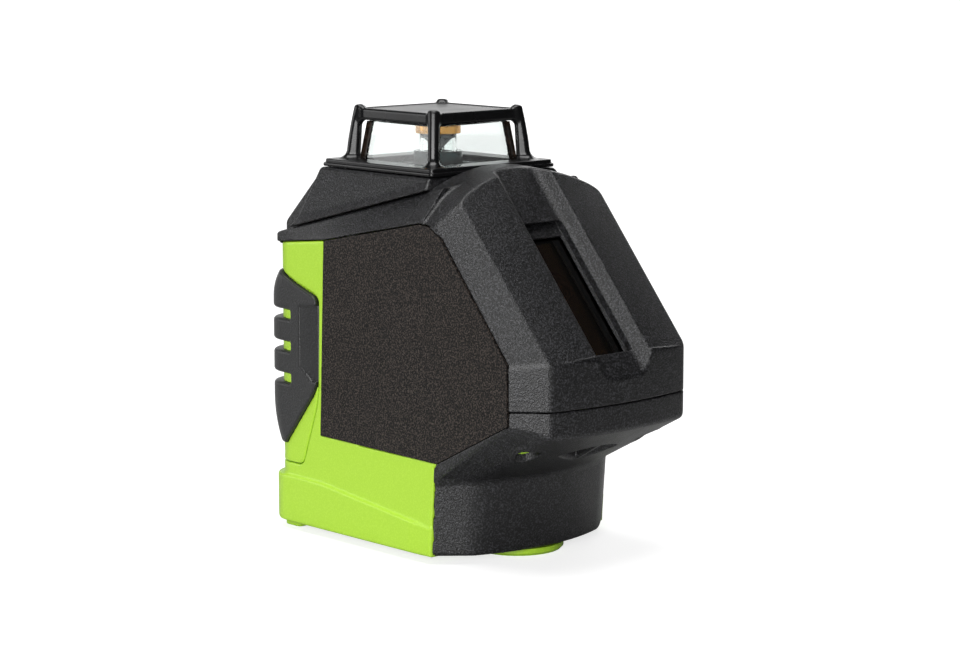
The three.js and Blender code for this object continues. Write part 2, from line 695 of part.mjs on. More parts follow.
function makeTopCover() {
  const level = (frontHalf, rearHalf, frontY0, rearY0, zOf) => [-1, 1].flatMap((hand) => [
    [hand * frontHalf, frontY0, zOf(frontY0)],
    [hand * rearHalf, rearY0, zOf(rearY0)],
  ]);
  const shape = (inset, drop) => hullOf([
    ...level(DECK_HALF - inset, DECK_HALF - inset, towerY - GUARD_HALF + inset,
      towerY + DECK_HALF - inset, () => deckZ - inset),
    ...level(pyramidFoot.frontHalf - inset, pyramidFoot.rearHalf - inset,
      pyramidFrontY + inset, pyramidFoot.rearY - inset, (y) => brimTop(y) + GAP / 2 - drop),
  ]);
  const opening = rounded(
    rectangle(
      [-DECK_OPENING_HALF, DECK_OPENING_HALF],
      [towerY - DECK_OPENING_HALF, towerY + DECK_OPENING_HALF],
    ), 2, 3,
  );
  return cutBy(shape(0, 0), shape(WALL, 3), prismZ(opening, [deckZ - 10, deckZ + 5]));
}

// ---------------------------------------------------------------- keypad
const KEYPAD_HALF = 31;
const keypad = {
  lowY: rearY - 0.4,
  lowZ: brimTop(rearY - 0.4) + GAP / 2 + 3.1,
  highY: towerY + DECK_HALF + 1.4,
  highZ: deckZ - 3.2,
};
const keypadRun = Math.hypot(keypad.highY - keypad.lowY, keypad.highZ - keypad.lowZ);
const keypadFrame = new THREE.Matrix4()
  .makeBasis(
    axisX.clone().negate(),
    new THREE.Vector3(0, keypad.highY - keypad.lowY, keypad.highZ - keypad.lowZ).normalize(),
    new THREE.Vector3(0, keypad.highZ - keypad.lowZ, keypad.lowY - keypad.highY).normalize(),
  )
  .setPosition(0, (keypad.lowY + keypad.highY) / 2, (keypad.lowZ + keypad.highZ) / 2);
const onKeypad = (solid) => placed(solid, keypadFrame);
const buttonX = (i) => (i - (BUTTON_COUNT - 1) / 2) * BUTTON_PITCH;

function makeKeypad() {
  const coverRearY = (z) => {
    const share = (deckZ - z) / (deckZ - brimTop(pyramidFoot.rearY));
    return towerY + DECK_HALF + share * (pyramidFoot.rearY - towerY - DECK_HALF) + GAP;
  };
  const footZ = (y) => brimTop(y) + GAP / 2;
  const innerY = coverRearY(brimTop(pyramidFoot.rearY)) + 0.1;
  const profile = [
    [innerY, footZ(innerY)], [keypad.lowY, footZ(keypad.lowY)],
    [keypad.lowY, keypad.lowZ], [keypad.highY, keypad.highZ],
    [coverRearY(keypad.highZ), keypad.highZ],
  ];
  const ends = [[KEYPAD_HALF, 0, 3], [KEYPAD_HALF - 2, 3, 5]];
  const body = hullOf(ends.flatMap(([half, from, to]) => profile.slice(from, to)
    .flatMap(([y, z]) => [[-half, y, z], [half, y, z]])));
  const wells = Array.from({ length: BUTTON_COUNT }, (_, i) => (
    onKeypad(rodZ(BUTTON_RADIUS + GAP, [-BUTTON_DEPTH, 5], buttonX(i), 0, 24))
  ));
  const lampWell = onKeypad(rodZ(1.5 + GAP, [-1.5, 3], 0, keypadRun / 2 - 1.9, 16));
  return cutBy(body, ...wells, lampWell);
}

function makeButton() {
  return turned([
    [0, -BUTTON_DEPTH + 1.2], [BUTTON_RADIUS, -BUTTON_DEPTH + 1.2], [BUTTON_RADIUS, 0.8],
    [BUTTON_RADIUS - 0.5, BUTTON_STAND], [0, BUTTON_STAND],
  ], 24);
}

const makeStatusLens = () => turned([[0, -1.2], [1.5, -1.2], [1.5, 0.2], [1, 0.5], [0, 0.5]], 16);

// ---------------------------------------------------------------- guard and ring window
function makeGuard() {
  const plate = (half, z0, z1) => prismZ(
    rounded(rectangle([-half, half], [towerY - half, towerY + half]), 3, 4), [z0, z1],
  );
  const footZ = deckZ + GAP;
  const topZ = deckZ + GUARD_HEIGHT;
  const hole = rectangle(
    [-PANE_HALF - 0.6, PANE_HALF + 0.6], [towerY - PANE_HALF - 0.6, towerY + PANE_HALF + 0.6],
  );
  const foot = cutBy(
    joined(plate(GUARD_HALF, footZ, footZ + 0.9), plate(GUARD_HALF - 0.8, footZ, footZ + 1.7)),
    prismZ(hole, [footZ - 1, footZ + 5]),
  );
  const roofHollow = rounded(
    rectangle([-GUARD_TOP_HALF + 2.2, GUARD_TOP_HALF - 2.2],
      [towerY - GUARD_TOP_HALF + 2.2, towerY + GUARD_TOP_HALF - 2.2]), 2, 3,
  );
  const roof = cutBy(
    plate(GUARD_TOP_HALF, topZ - 4.7, topZ - 1),
    prismZ(roofHollow, [topZ - 6, topZ - 2.7]),
  );
  const posts = [45, 135, 225, 315].map((turn) => guardPost(turn, footZ, topZ));
  return cutBy(joined(foot, roof, ...posts), paneRoom());
}

// Half width of the ring window's outer faces at a height.
const paneHalf = (z) => PANE_HALF - (z - deckZ - 2) * PANE_LEAN;
const paneSpan = [deckZ + GAP, deckZ + GUARD_HEIGHT - 4.7 - GAP];

// The room inside the guard that the four panes fill.
function paneRoom() {
  return hullOf([paneSpan[0] - 1, paneSpan[1] + GAP / 2].flatMap((z) => {
    const half = paneHalf(z) + GAP;
    return rectangle([-half, half], [towerY - half, towerY + half]).map(([x, y]) => [x, y, z]);
  }));
}

// A thin post on a diagonal of the guard, flared where it meets the foot plate.
function guardPost(turn, footZ, topZ) {
  const level = (near, far, thickness, z) => [near, far].flatMap((along) => (
    [-1, 1].map((way) => [along, way * thickness / 2, z])
  ));
  const diagonal = (half) => half * Math.SQRT2;
  const outerTop = diagonal(GUARD_TOP_HALF) - 0.2;
  const outerFoot = outerTop + 3.6;
  const flare = hullOf([
    ...level(outerFoot - 5.9, outerFoot + 1.3, 6.4, footZ + 1.2),
    ...level(outerFoot - 5.2, outerFoot, 3.4, footZ + 3.4),
  ]);
  const blade = hullOf([
    ...level(outerFoot - 5.2, outerFoot + 0.2, 3.4, footZ + 1.5),
    ...level(outerTop - 2.6, outerTop + 0.4, 3.4, topZ - 2.4),
  ]);
  const knee = hullOf([
    ...level(outerTop - 5, outerTop, 3.4, topZ - 4.2),
    ...level(outerTop - 2.6, outerTop + 0.6, 3.4, topZ - 8),
  ]);
  const head = hullOf([
    ...level(outerTop - 3.6, outerTop + 0.3, 3.6, topZ - 3),
    ...level(outerTop - 3, outerTop - 0.4, 2, topZ),
  ]);
  const spin = new THREE.Matrix4().makeRotationZ(THREE.MathUtils.degToRad(turn))
    .setPosition(0, towerY, 0);
  return placed(joined(flare, blade, knee, head), spin);
}

// One leaning pane with mitred ends, before it is turned to its side of the tower.
function makePane() {
  const mitre = 0.25;
  const points = paneSpan.flatMap((z) => {
    const outer = paneHalf(z);
    return [0, PANE_THICKNESS].flatMap((depth) => [-1, 1].map((hand) => (
      [hand * (outer - depth - mitre), -(outer - depth), z]
    )));
  });
  return hullOf(points);
}

// ---------------------------------------------------------------- battery door
function makeDoor() {
  const inHole = prismX(doorSide(), [-FAR, FAR]);
  const skin = cutBy(
    prismZ(bodyPlan(0), [baseZ, deckZ]),
    prismZ(bodyPlan(WALL), [baseZ - 1, deckZ + 1]),
  ).intersect(inHole);
  const barrel = rodX(DOOR_HINGE_RADIUS, [-FAR, FAR], hingeY, hingeZ, 24);
  const lip = cutBy(block([-FAR, FAR], [hingeY, FAR], [0, hingeZ]), barrel);
  const knuckles = [[-KNUCKLE[1], -KNUCKLE[0]], KNUCKLE].map((span) => (
    rodX(DOOR_HINGE_RADIUS, span, hingeY, hingeZ, 24)
  ));
  const earRoom = [-1, 1].map((hand) => {
    const span = hand > 0 ? [KNUCKLE[1], EAR[1] + GAP] : [-EAR[1] - GAP, -KNUCKLE[1]];
    return block(span, [hingeY - 8, FAR], [baseZ, hingeZ + DOOR_HINGE_RADIUS + GAP * 2]);
  });
  const pinHole = rodX(HINGE_PIN_RADIUS + GAP, [-FAR, FAR], hingeY, hingeZ, 16);
  const latchSlot = block([-3 - GAP, 3 + GAP], [rearY - WALL - 1, FAR],
    [latchZ - 2 - LATCH_TRAVEL - GAP, latchZ + 2 + GAP]);
  return cutBy(joined(cutBy(skin, lip, ...earRoom), ...knuckles), pinHole, latchSlot);
}

const LATCH_TRAVEL = 3;
const LATCH_HALF = 7;
const latchZ = doorTopZ - 5.5;

function makeGrip() {
  const outerPlan = rounded(
    [
      [-halfWidth - GRIP_SIDE, -FAR], [halfWidth + GRIP_SIDE, -FAR],
      [halfWidth + GRIP_SIDE, rearY + GRIP_STAND], [-halfWidth - GRIP_SIDE, rearY + GRIP_STAND],
    ],
    [0, 0, REAR_RADIUS + 2, REAR_RADIUS + 2],
  );
  const skin = cutBy(
    prismZ(outerPlan, [baseZ, deckZ]),
    prismZ(bodyPlan(-GAP), [baseZ - 1, deckZ + 1]),
  ).intersect(prismX(gripSide(), [-FAR, FAR]));
  const middle = (doorBottomZ + doorTopZ) / 2 + 6.4;
  const slots = [-1, 0, 1].flatMap((step) => [[-FAR, -17], [17, FAR]].map((span) => {
    const z = middle + step * GRIP_SLOT_PITCH;
    return block(span, [rearY - 7, FAR], [z - GRIP_SLOT / 2, z + GRIP_SLOT / 2]);
  }));
  const latchRoom = block(
    [-LATCH_HALF - GAP, LATCH_HALF + GAP], [rearY - 5, FAR],
    [latchZ - 4 - LATCH_TRAVEL - GAP, FAR],
  );
  return cutBy(skin, ...slots, latchRoom);
}

// The thumb latch at the head of the door, with its tongue behind the door's top edge.
function makeLatch() {
  const pad = block([-LATCH_HALF, LATCH_HALF], [rearY + GAP, rearY + 2.6], [latchZ - 4, latchZ + 4]);
  const stem = block([-3, 3], [rearY - WALL - 0.8, rearY + 0.5], [latchZ - 2, latchZ + 2]);
  const tongue = block([-5, 5], [rearY - WALL - GAP - 1.3, rearY - WALL - GAP],
    [latchZ - 3, doorTopZ + 1.6]);
  return joined(pad, stem, tongue);
}

const makeHingePin = () => rodX(HINGE_PIN_RADIUS, [-EAR[1], EAR[1]], hingeY, hingeZ, 16);

// ---------------------------------------------------------------- batteries
const cellPitch = CELL_DIAMETER + GAP;
const cellX = (i) => (i - (CELL_COUNT - 1) / 2) * cellPitch;
const trayRearY = cellY + CELL_DIAMETER / 2 - 1.8;
const trayBottomZ = cellBottomZ - 5.1;
const trayTopZ = cellTopZ + 2.9;

function makeTray() {
  const box = block([-trayHalf, trayHalf], [trayFrontY, trayRearY], [trayBottomZ, trayTopZ]);
  const inner = block(
    [-trayHalf + TRAY_WALL, trayHalf - TRAY_WALL], [trayFrontY + TRAY_WALL, FAR],
    [trayBottomZ + TRAY_WALL, trayTopZ - TRAY_WALL],
  );
  const hingeRoom = block([-FAR, FAR], [hingeY - DOOR_HINGE_RADIUS - 1, FAR], [0, cellBottomZ - 0.5]);
  const cradles = Array.from({ length: CELL_COUNT - 1 }, (_, i) => cutBy(
    block(
      [cellX(i) + 2, cellX(i + 1) - 2], [trayFrontY + 0.5, cellY - 2],
      [cellBottomZ + 8, cellTopZ - 8],
    ),
    ...[i, i + 1].map((k) => rodZ(CELL_DIAMETER / 2 + GAP, [0, FAR], cellX(k), cellY, 32)),
  ));
  return cutBy(joined(cutBy(box, inner), ...cradles), hingeRoom);
}

function makeCell() {
  const r = CELL_DIAMETER / 2;
  return turned([
    [0, 0], [r - 1, 0], [r, 0.8], [r, CELL_LENGTH - 2], [r - 1, CELL_LENGTH - 1],
    [2.6, CELL_LENGTH - 1], [2.6, CELL_LENGTH], [0, CELL_LENGTH],
  ], 24);
}

// A plate across the ends of one cell or two, with a spring or a dimple for each.
function makeContact(cells, isLower) {
  const edge = isLower ? trayBottomZ + TRAY_WALL + GAP : trayTopZ - TRAY_WALL - GAP;
  const plateTo = isLower ? edge + CONTACT_THICKNESS : edge - CONTACT_THICKNESS;
  const tip = isLower ? cellBottomZ - GAP : cellTopZ + GAP;
  const centres = cells.map(cellX);
  const span = [Math.min(...centres) - 5.5, Math.max(...centres) + 5.5];
  const plate = block(span, [cellY - 4.5, cellY + 2.5], [Math.min(edge, plateTo), Math.max(edge, plateTo)]);
  const bumps = centres.map((x) => hullOf([
    ...circleAt(x, cellY, isLower ? 3.6 : 2.6, plateTo),
    ...circleAt(x, cellY, isLower ? 2 : 1.4, tip),
    ...circleAt(x, cellY, 2.4, (edge + plateTo) / 2),
  ]));
  return joined(plate, ...bumps);
}

function circleAt(x, y, radius, z, sides = 16) {
  return Array.from({ length: sides }, (_, i) => {
    const turn = (2 * Math.PI * i) / sides;
    return [x + radius * Math.cos(turn), y + radius * Math.sin(turn), z];
  });
}

// ---------------------------------------------------------------- chassis and gimbal
function makeChassis() {
  const plateHalf = halfWidth - WALL - 2;
  const plate = block(
    [-plateHalf, plateHalf], [tripodY + TRIPOD_HUB_RADIUS + 1.5, rearY - WALL - 7.5],
    [chassisZ, chassisTopZ],
  );
  const yoke = makeYoke();
  const legs = [-1, 1].map((way) => {
    const y = towerY + way * 13.5;
    return block([-12, 12], [y - 1, y + 1], [chassisTopZ - 1, bridgeZ + BRIDGE_THICKNESS]);
  });
  const bridge = block([-12, 12], [towerY - 14.5, towerY + 14.5], [bridgeZ, bridgeZ + BRIDGE_THICKNESS]);
  const trayPosts = [-1, 1].map((hand) => rodZ(
    4.5, [chassisTopZ - 1, trayBottomZ - GAP], hand * caseScrew.x, caseScrew.y, 20,
  ));
  const boardPosts = [pivotZ - 52, pivotZ - 16].flatMap((z) => [towerY - 6, towerY + 6].map((y) => (
    rodX(1.8, [-boardX + GAP, -yokeOuterX + 1], y, z, 14)
  )));
  return cutBy(
    joined(plate, yoke, mirrored(yoke), ...legs, bridge, ...trayPosts, ...boardPosts),
    rodZ(PLUNGER_RADIUS + GAP, [bridgeZ - 1, bridgeZ + 5], 0, towerY),
    prismX(
      rectangle([towerY - 6.2, towerY + 6.2], [lockBarZ - 1, lockBarZ + LOCK_BAR_HEIGHT + 1]),
      [yokeInnerX - 2, yokeOuterX + 2],
    ),
    ...[-1, 1].map((hand) => rodZ(
      SCREW_RADIUS + GAP, [chassisZ - 1, chassisTopZ + 9], hand * caseScrew.x, caseScrew.y, 16,
    )),
  );
}

const PLUNGER_RADIUS = 3.6;
const boardX = yokeOuterX + 3.3;
const BOARD_THICKNESS = 1.6;

// The right-hand upright that carries a gimbal bearing.
function makeYoke() {
  const headRadius = 8;
  const outline = [
    [towerY - 11, chassisTopZ - 1], [towerY + 11, chassisTopZ - 1],
    [towerY + 11, chassisTopZ + 20], [towerY + headRadius, pivotZ - 20],
    [towerY - headRadius, pivotZ - 20], [towerY - 11, chassisTopZ + 20],
  ];
  const upright = prismX(outline, [yokeInnerX, yokeOuterX]);
  const neck = block([yokeInnerX, yokeOuterX], [towerY - headRadius, towerY + headRadius],
    [pivotZ - 21, pivotZ]);
  const head = rodX(headRadius, [yokeInnerX, yokeOuterX], towerY, pivotZ);
  return cutBy(
    joined(upright, neck, head),
    rodX(BEARING_RADIUS + GAP, [yokeInnerX - 1, yokeInnerX + BEARING_WIDTH + 2 * GAP], towerY, pivotZ),
    rodX(PIN_RADIUS + GAP * 2, [yokeInnerX - 1, yokeOuterX + 1], towerY, pivotZ, 20),
  );
}

function makeRing() {
  const band = turned(ringProfile(RING_INNER, RING_OUTER, -RING_HEIGHT / 2, RING_HEIGHT / 2), 40);
  return cutBy(
    band,
    rodX(PIN_RADIUS + GAP, [-RING_OUTER - 2, RING_OUTER + 2], 0, 0, 20),
    rodY(PIN_RADIUS + GAP, [-RING_OUTER - 2, RING_OUTER + 2], 0, 0, 20),
  );
}

const makeBearing = () => turned(
  ringProfile(PIN_RADIUS + GAP, BEARING_RADIUS, -BEARING_WIDTH / 2, BEARING_WIDTH / 2), 24,
);

const pinSpan = {
  pitch: [RING_INNER + 0.5, yokeInnerX + BEARING_WIDTH + 2 * GAP],
  roll: [0, RING_OUTER - 1],
};

// ---------------------------------------------------------------- pendulum
const BLOCK_HALF = 10; // the pendulum's block inside the gimbal ring
const ROLL_HOLE = 3;
const TRUNK_HALF = 9;
const TRUNK_SPAN = [-4, 8.7];
const CLAMP_HALF = 8;
const CLAMP_SPAN = [-FRONT_MODULE_LENGTH, -FRONT_MODULE_LENGTH + 9.5];
const ARM_HALF = 4.5;
const WEIGHT_THICKNESS = 4.4;
const WEIGHT_HALF = 19.5;
const WEIGHT_SPAN = [-48.5, -12.4];

// Everything on the pendulum is placed from the gimbal's centre.
const fromPivot = (z) => z - pivotZ;

// A frame at the front end of the front laser module, with z along its beam.
const beamFrame = new THREE.Matrix4()
  .makeTranslation(0, -towerY, -pivotZ)
  .multiply(slabFrame)
  .multiply(new THREE.Matrix4().makeTranslation(0, FRONT_BEAM_UP, -FRONT_BEAM_DEPTH));
const inBeam = (solid) => placed(solid, beamFrame);

function makePendulum() {
  const head = block([-BLOCK_HALF, BLOCK_HALF], [-BLOCK_HALF, BLOCK_HALF], [-12, 10]);
  const trunkBottom = fromPivot(dampingZ + DAMPING_THICKNESS + GAP);
  const trunk = block([-TRUNK_HALF, TRUNK_HALF], TRUNK_SPAN, [trunkBottom, -11]);
  const clampSide = [-CLAMP_HALF, CLAMP_HALF];
  const clamp = inBeam(block(clampSide, clampSide, CLAMP_SPAN));
  const upperBore = rodZ(MODULE_RADIUS + GAP, [upperModuleBottom - GAP, 20], 0, 0);
  const frontBore = inBeam(rodZ(MODULE_RADIUS + GAP, [CLAMP_SPAN[0] - GAP, 5], 0, 0));
  const rollBores = [-1, 1].map((way) => rodY(
    PIN_RADIUS + GAP, way > 0 ? [BLOCK_HALF - ROLL_HOLE, 20] : [-20, -BLOCK_HALF + ROLL_HOLE], 0, 0, 20,
  ));
  const stud = rodZ(3, [fromPivot(dampingZ) - GAP, trunkBottom + 1], 0, 0, 20);
  return cutBy(joined(head, trunk, pendulumArm(), clamp, stud), upperBore, frontBore, ...rollBores);
}

// The arm from the trunk to the clamp of the front laser module.
function pendulumArm() {
  const [low, high] = [-30, -12];
  const clampEnd = rectangle([-ARM_HALF, ARM_HALF], [-CLAMP_HALF, CLAMP_HALF - 2])
    .flatMap(([x, y]) => [CLAMP_SPAN[0] + 0.1, CLAMP_SPAN[0] + 3].map((z) => (
      new THREE.Vector3(x, y, z).applyMatrix4(beamFrame).toArray()
    )));
  const trunkEnd = rectangle([-ARM_HALF, ARM_HALF], [low, high])
    .flatMap(([x, z]) => [TRUNK_SPAN[0] - 0.1, TRUNK_SPAN[0] + 2].map((y) => [x, y, z]));
  return hullOf([...clampEnd, ...trunkEnd]);
}

// The weight behind the trunk that balances the front laser module.
function makeWeight() {
  const rearFace = TRUNK_SPAN[1] + GAP;
  return block([-WEIGHT_HALF, WEIGHT_HALF], [rearFace, rearFace + WEIGHT_THICKNESS], WEIGHT_SPAN);
}

const upperModuleBottom = -14;

function makeUpperModule() {
  return rodZ(MODULE_RADIUS, [upperModuleBottom, fromPivot(deckZ) - 1.2], 0, 0);
}

function makeFrontModule() {
  const barrel = rodZ(MODULE_RADIUS, [-FRONT_MODULE_LENGTH, 0], 0, 0);
  const seat = rodZ(LENS_RADIUS + GAP, [-LENS_DEPTH - GAP, 1], 0, 0);
  return inBeam(cutBy(barrel, seat));
}

const LENS_RADIUS = 4.5;
const LENS_DEPTH = 2.6;

// The rod lens that fans the front beam: a disc with a rounded bar across its face.
function makeFrontLens() {
  const disc = rodZ(LENS_RADIUS, [-LENS_DEPTH, -1.2], 0, 0, 24);
  const bar = rodX(1.1, [-LENS_RADIUS + 0.5, LENS_RADIUS - 0.5], 0, -1.3, 16);
  return inBeam(joined(disc, bar));
}

function makeHolder() {
  const top = fromPivot(holderTopZ);
  const seat = fromPivot(tubeBottomZ) - GAP;
  const bottom = fromPivot(deckZ) - 10;
  const outer = MODULE_RADIUS + HOLDER_WALL;
  return turned([
    [MODULE_RADIUS + GAP, bottom], [outer, bottom], [outer, top],
    [TUBE_RADIUS + GAP / 2 + 0.05, top], [TUBE_RADIUS + GAP / 2 + 0.05, seat], [4, seat],
    [4, fromPivot(deckZ) - 0.9], [MODULE_RADIUS + GAP, fromPivot(deckZ) - 0.9],
    [MODULE_RADIUS + GAP, bottom],
  ], 32);
}

const makeTube = () => turned(ringProfile(
  TUBE_RADIUS - TUBE_WALL, TUBE_RADIUS, fromPivot(tubeBottomZ), fromPivot(tubeTopZ),
), 32);

function makeCone() {
  const base = fromPivot(tubeTopZ);
  return turned([
    [0, base - CONE_HEIGHT], [CONE_HEIGHT, base - 0.4], [CONE_HEIGHT, base], [0, base],
  ], 32);
}

function makeCap() {
  const bottom = fromPivot(tubeTopZ) + GAP;
  const top = fromPivot(capTopZ);
  return turned([
    [0, bottom], [TUBE_RADIUS, bottom], [TUBE_RADIUS, top - 0.6],
    [TUBE_RADIUS - 0.6, top], [0, top],
  ], 32);
}

function makeDampingPlate() {
  const z = fromPivot(dampingZ);
  return turned(ringProfile(3 + GAP, 11.8, z, z + DAMPING_THICKNESS), 32);
}

// ---------------------------------------------------------------- damping and lock
const makeMagnet = () => turned(ringProfile(5, 12, magnetZ, magnetZ + MAGNET_HEIGHT), 32);

const rampHeight = (y) => rampZ + (y * LOCK_RISE) / LOCK_TRAVEL;

// The slider: an outside thumb pad, a stem through the wall and a bar that ends in a ramp.
function makeSlider() {
  const wallInside = halfWidth - WALL;
  const pad = prismX(
    rounded(rectangle([lockRestY - 6, lockRestY + 6], [lockZ - 3.5, lockZ + 3.5]), 2, 3),
    [halfWidth - 0.9 + GAP, halfWidth + GRIP_SIDE],
  );
  const stem = block([wallInside - 1, halfWidth], [lockRestY - 2, lockRestY + 2],
    [lockZ - 1.5, lockZ + 1.5]);
  const plate = block([wallInside - GAP - 1.8, wallInside - GAP], [lockRestY - 4, lockRestY + 4],
    [lockBarZ, lockZ + 3]);
  const bar = block([-4, wallInside - GAP - 1], [lockRestY - 2.5, lockRestY + 2.5],
    [lockBarZ, lockBarZ + LOCK_BAR_HEIGHT]);
  const reach = [-3.5, LOCK_TRAVEL + 3.5];
  const ramp = prismX([
    [towerY + reach[0], lockBarZ], [towerY + reach[1], lockBarZ],
    [towerY + reach[1], rampHeight(reach[1])], [towerY + reach[0], rampHeight(reach[0])],
  ], [-4, 4]);
  return joined(pad, stem, plate, bar, ramp);
}

// The plunger that rides up the ramp towards the pendulum.
function makePlunger() {
  const foot = 2.5;
  const padZ = dampingZ - LOCK_RISE - LOCK_CLEARANCE;
  const shaft = rodZ(PLUNGER_RADIUS, [rampZ - 3, padZ], 0, towerY);
  const collar = rodZ(5, [bridgeZ - LOCK_RISE - GAP - 2, bridgeZ - LOCK_RISE - GAP], 0, towerY);
  const under = prismX([
    [towerY - 9, rampHeight(-9) + GAP * 1.1], [towerY + 9, rampHeight(9) + GAP * 1.1],
    [towerY + 9, -FAR], [towerY - 9, -FAR],
  ], [-FAR, FAR]);
  const waist = cutBy(
    rodZ(PLUNGER_RADIUS + 1, [0, bridgeZ - LOCK_RISE - GAP - 2], 0, towerY),
    block([-foot, foot], [towerY - foot, towerY + foot], [-1, FAR]),
  );
  return cutBy(joined(shaft, collar), under, waist);
}

// ---------------------------------------------------------------- small pieces
function makePanel() {
  const outline = grown(panelSide(), -0.02);
  return prismX(outline, [halfWidth - PANEL_THICKNESS, halfWidth]);
}

function makeTripodBoss() {
  return movedBy(cutBy(
    turned([
      [0, 0], [TRIPOD_DISC_RADIUS - 0.8, 0], [TRIPOD_DISC_RADIUS, 0.8],
      [TRIPOD_DISC_RADIUS, baseZ - GAP], [TRIPOD_HUB_RADIUS, baseZ - GAP],
      [TRIPOD_HUB_RADIUS, baseZ + 12], [0, baseZ + 12],
    ], 40),
    rodZ(INSERT_RADIUS + GAP, [-1, INSERT_LENGTH + 2 * GAP], 0, 0, 24),
  ), 0, tripodY, 0);
}

const INSERT_RADIUS = 5.5;
const INSERT_LENGTH = 11;

const makeInsert = () => turned(ringProfile(THREAD_RADIUS, INSERT_RADIUS, GAP, INSERT_LENGTH + GAP), 24);

function makeBoard() {
  const span = [-boardX - BOARD_THICKNESS, -boardX];
  const board = block(span, [towerY - 20, towerY + 12], [pivotZ - 58, pivotZ - 10]);
  const chip = (y, z, w, h) => block(
    [-boardX - 0.5, -boardX + 1.2], [y - w / 2, y + w / 2], [z - h / 2, z + h / 2],
  );
  return joined(
    board,
    chip(towerY - 14, pivotZ - 24, 8, 8),
    chip(towerY - 14, pivotZ - 40, 6, 10),
  );
}

// A screw with its head down and its tip up.
function makeScrew(headRadius, headHeight, length) {
  return turned([
    [0, 0], [headRadius - 0.3, 0], [headRadius, 0.3], [headRadius, headHeight],
    [SCREW_RADIUS, headHeight], [SCREW_RADIUS, length - 1], [0.5, length], [0, length],
  ], 20);
}

// ---------------------------------------------------------------- finishes
const finishes = {
  limePlastic: { color: 0xbde94f, roughness: 0.42, metalness: 0 },
  blackTextured: { color: 0x2f2f31, roughness: 0.62, metalness: 0 },
  glossBlack: { color: 0x141416, roughness: 0.18, metalness: 0 },
  panelFilm: { color: 0x2b2725, roughness: 0.55, metalness: 0 },
  rubber: { color: 0x1f2022, roughness: 0.8, metalness: 0 },
  clearGlass: { color: 0xf2f6f8, roughness: 0.05, metalness: 0 },
  smokedGlass: { color: 0x15110d, roughness: 0.08, metalness: 0 },
  brass: { color: 0xc08a3a, roughness: 0.3, metalness: 1 },
  copper: { color: 0xb56a45, roughness: 0.35, metalness: 1 },
  steel: { color: 0x9aa0a6, roughness: 0.35, metalness: 1 },
  castAlloy: { color: 0x7d8084, roughness: 0.5, metalness: 1 },
  innerBlack: { color: 0x1b1b1d, roughness: 0.6, metalness: 0 },
  boardGreen: { color: 0x1f5c3a, roughness: 0.5, metalness: 0 },
  cellWrap: { color: 0x3a3d42, roughness: 0.35, metalness: 0 },
  greyKey: { color: 0x5b5d60, roughness: 0.7, metalness: 0 },
  lampLens: { color: 0xdfe6e2, roughness: 0.3, metalness: 0 },
};

function piece(name, solid, finish, place = [0, 0, 0], turn = [0, 0, 0]) {
  const mesh = new THREE.Mesh(toGeometry(solid), new THREE.MeshStandardMaterial(finishes[finish]));
  mesh.name = name;
  mesh.position.set(...place);
  mesh.rotation.set(...turn);
  return mesh;
}

// ---------------------------------------------------------------- assembly
function makeCase() {
  const group = new THREE.Group();
  const panel = makePanel();
  group.add(
    piece('main_housing', makeHousing(), 'limePlastic'),
    piece('front_cover', makeFrontCover(), 'blackTextured'),
    piece('front_base_cover', makeFrontBase(), 'blackTextured'),
    piece('top_cover', makeTopCover(), 'blackTextured'),
    piece('right_side_panel', panel, 'panelFilm'),
    piece('left_side_panel', mirrored(panel), 'panelFilm'),
    piece('front_window', makeFrontWindow(), 'smokedGlass'),
    piece('window_frame', makeWindowFrame(), 'innerBlack'),
    piece('tripod_boss', makeTripodBoss(), 'limePlastic'),
    piece('thread_insert', makeInsert(), 'brass', [0, tripodY, 0]),
  );
  for (const [label, hand] of [['left', -1], ['right', 1]]) {
    group.add(
      piece(`case_screw_${label}`, makeScrew(2.6, 1.1, 12), 'steel',
        [hand * caseScrew.x, caseScrew.y, baseZ + 0.2]),
      piece(`nose_screw_${label}`, makeScrew(2.8, 2.4, 18), 'steel',
        [hand * noseScrew.x, noseScrew.y, noseSeatZ - GAP - 2.4]),
    );
  }
  return group;
}

function makeKeys() {
  const group = new THREE.Group();
  group.add(piece('keypad_panel', makeKeypad(), 'blackTextured'));
  const pad = new THREE.Group();
  keypadFrame.decompose(pad.position, pad.quaternion, pad.scale);
  for (let i = 0; i < BUTTON_COUNT; i += 1) {
    pad.add(piece(`mode_button_${i + 1}`, makeButton(), 'greyKey', [buttonX(i), 0, 0]));
  }
  pad.add(piece('status_lens', makeStatusLens(), 'lampLens', [0, keypadRun / 2 - 1.9, 0]));
  group.add(pad);
  return group;
}

function makeTower() {
  const group = new THREE.Group();
  group.add(piece('window_guard', makeGuard(), 'glossBlack'));
  const sides = ['front', 'right', 'rear', 'left'];
  sides.forEach((label, i) => {
    const turn = [0, 0, (i * Math.PI) / 2];
    group.add(piece(`ring_window_${label}`, makePane(), 'clearGlass', [0, towerY, 0], turn));
  });
  return group;
}

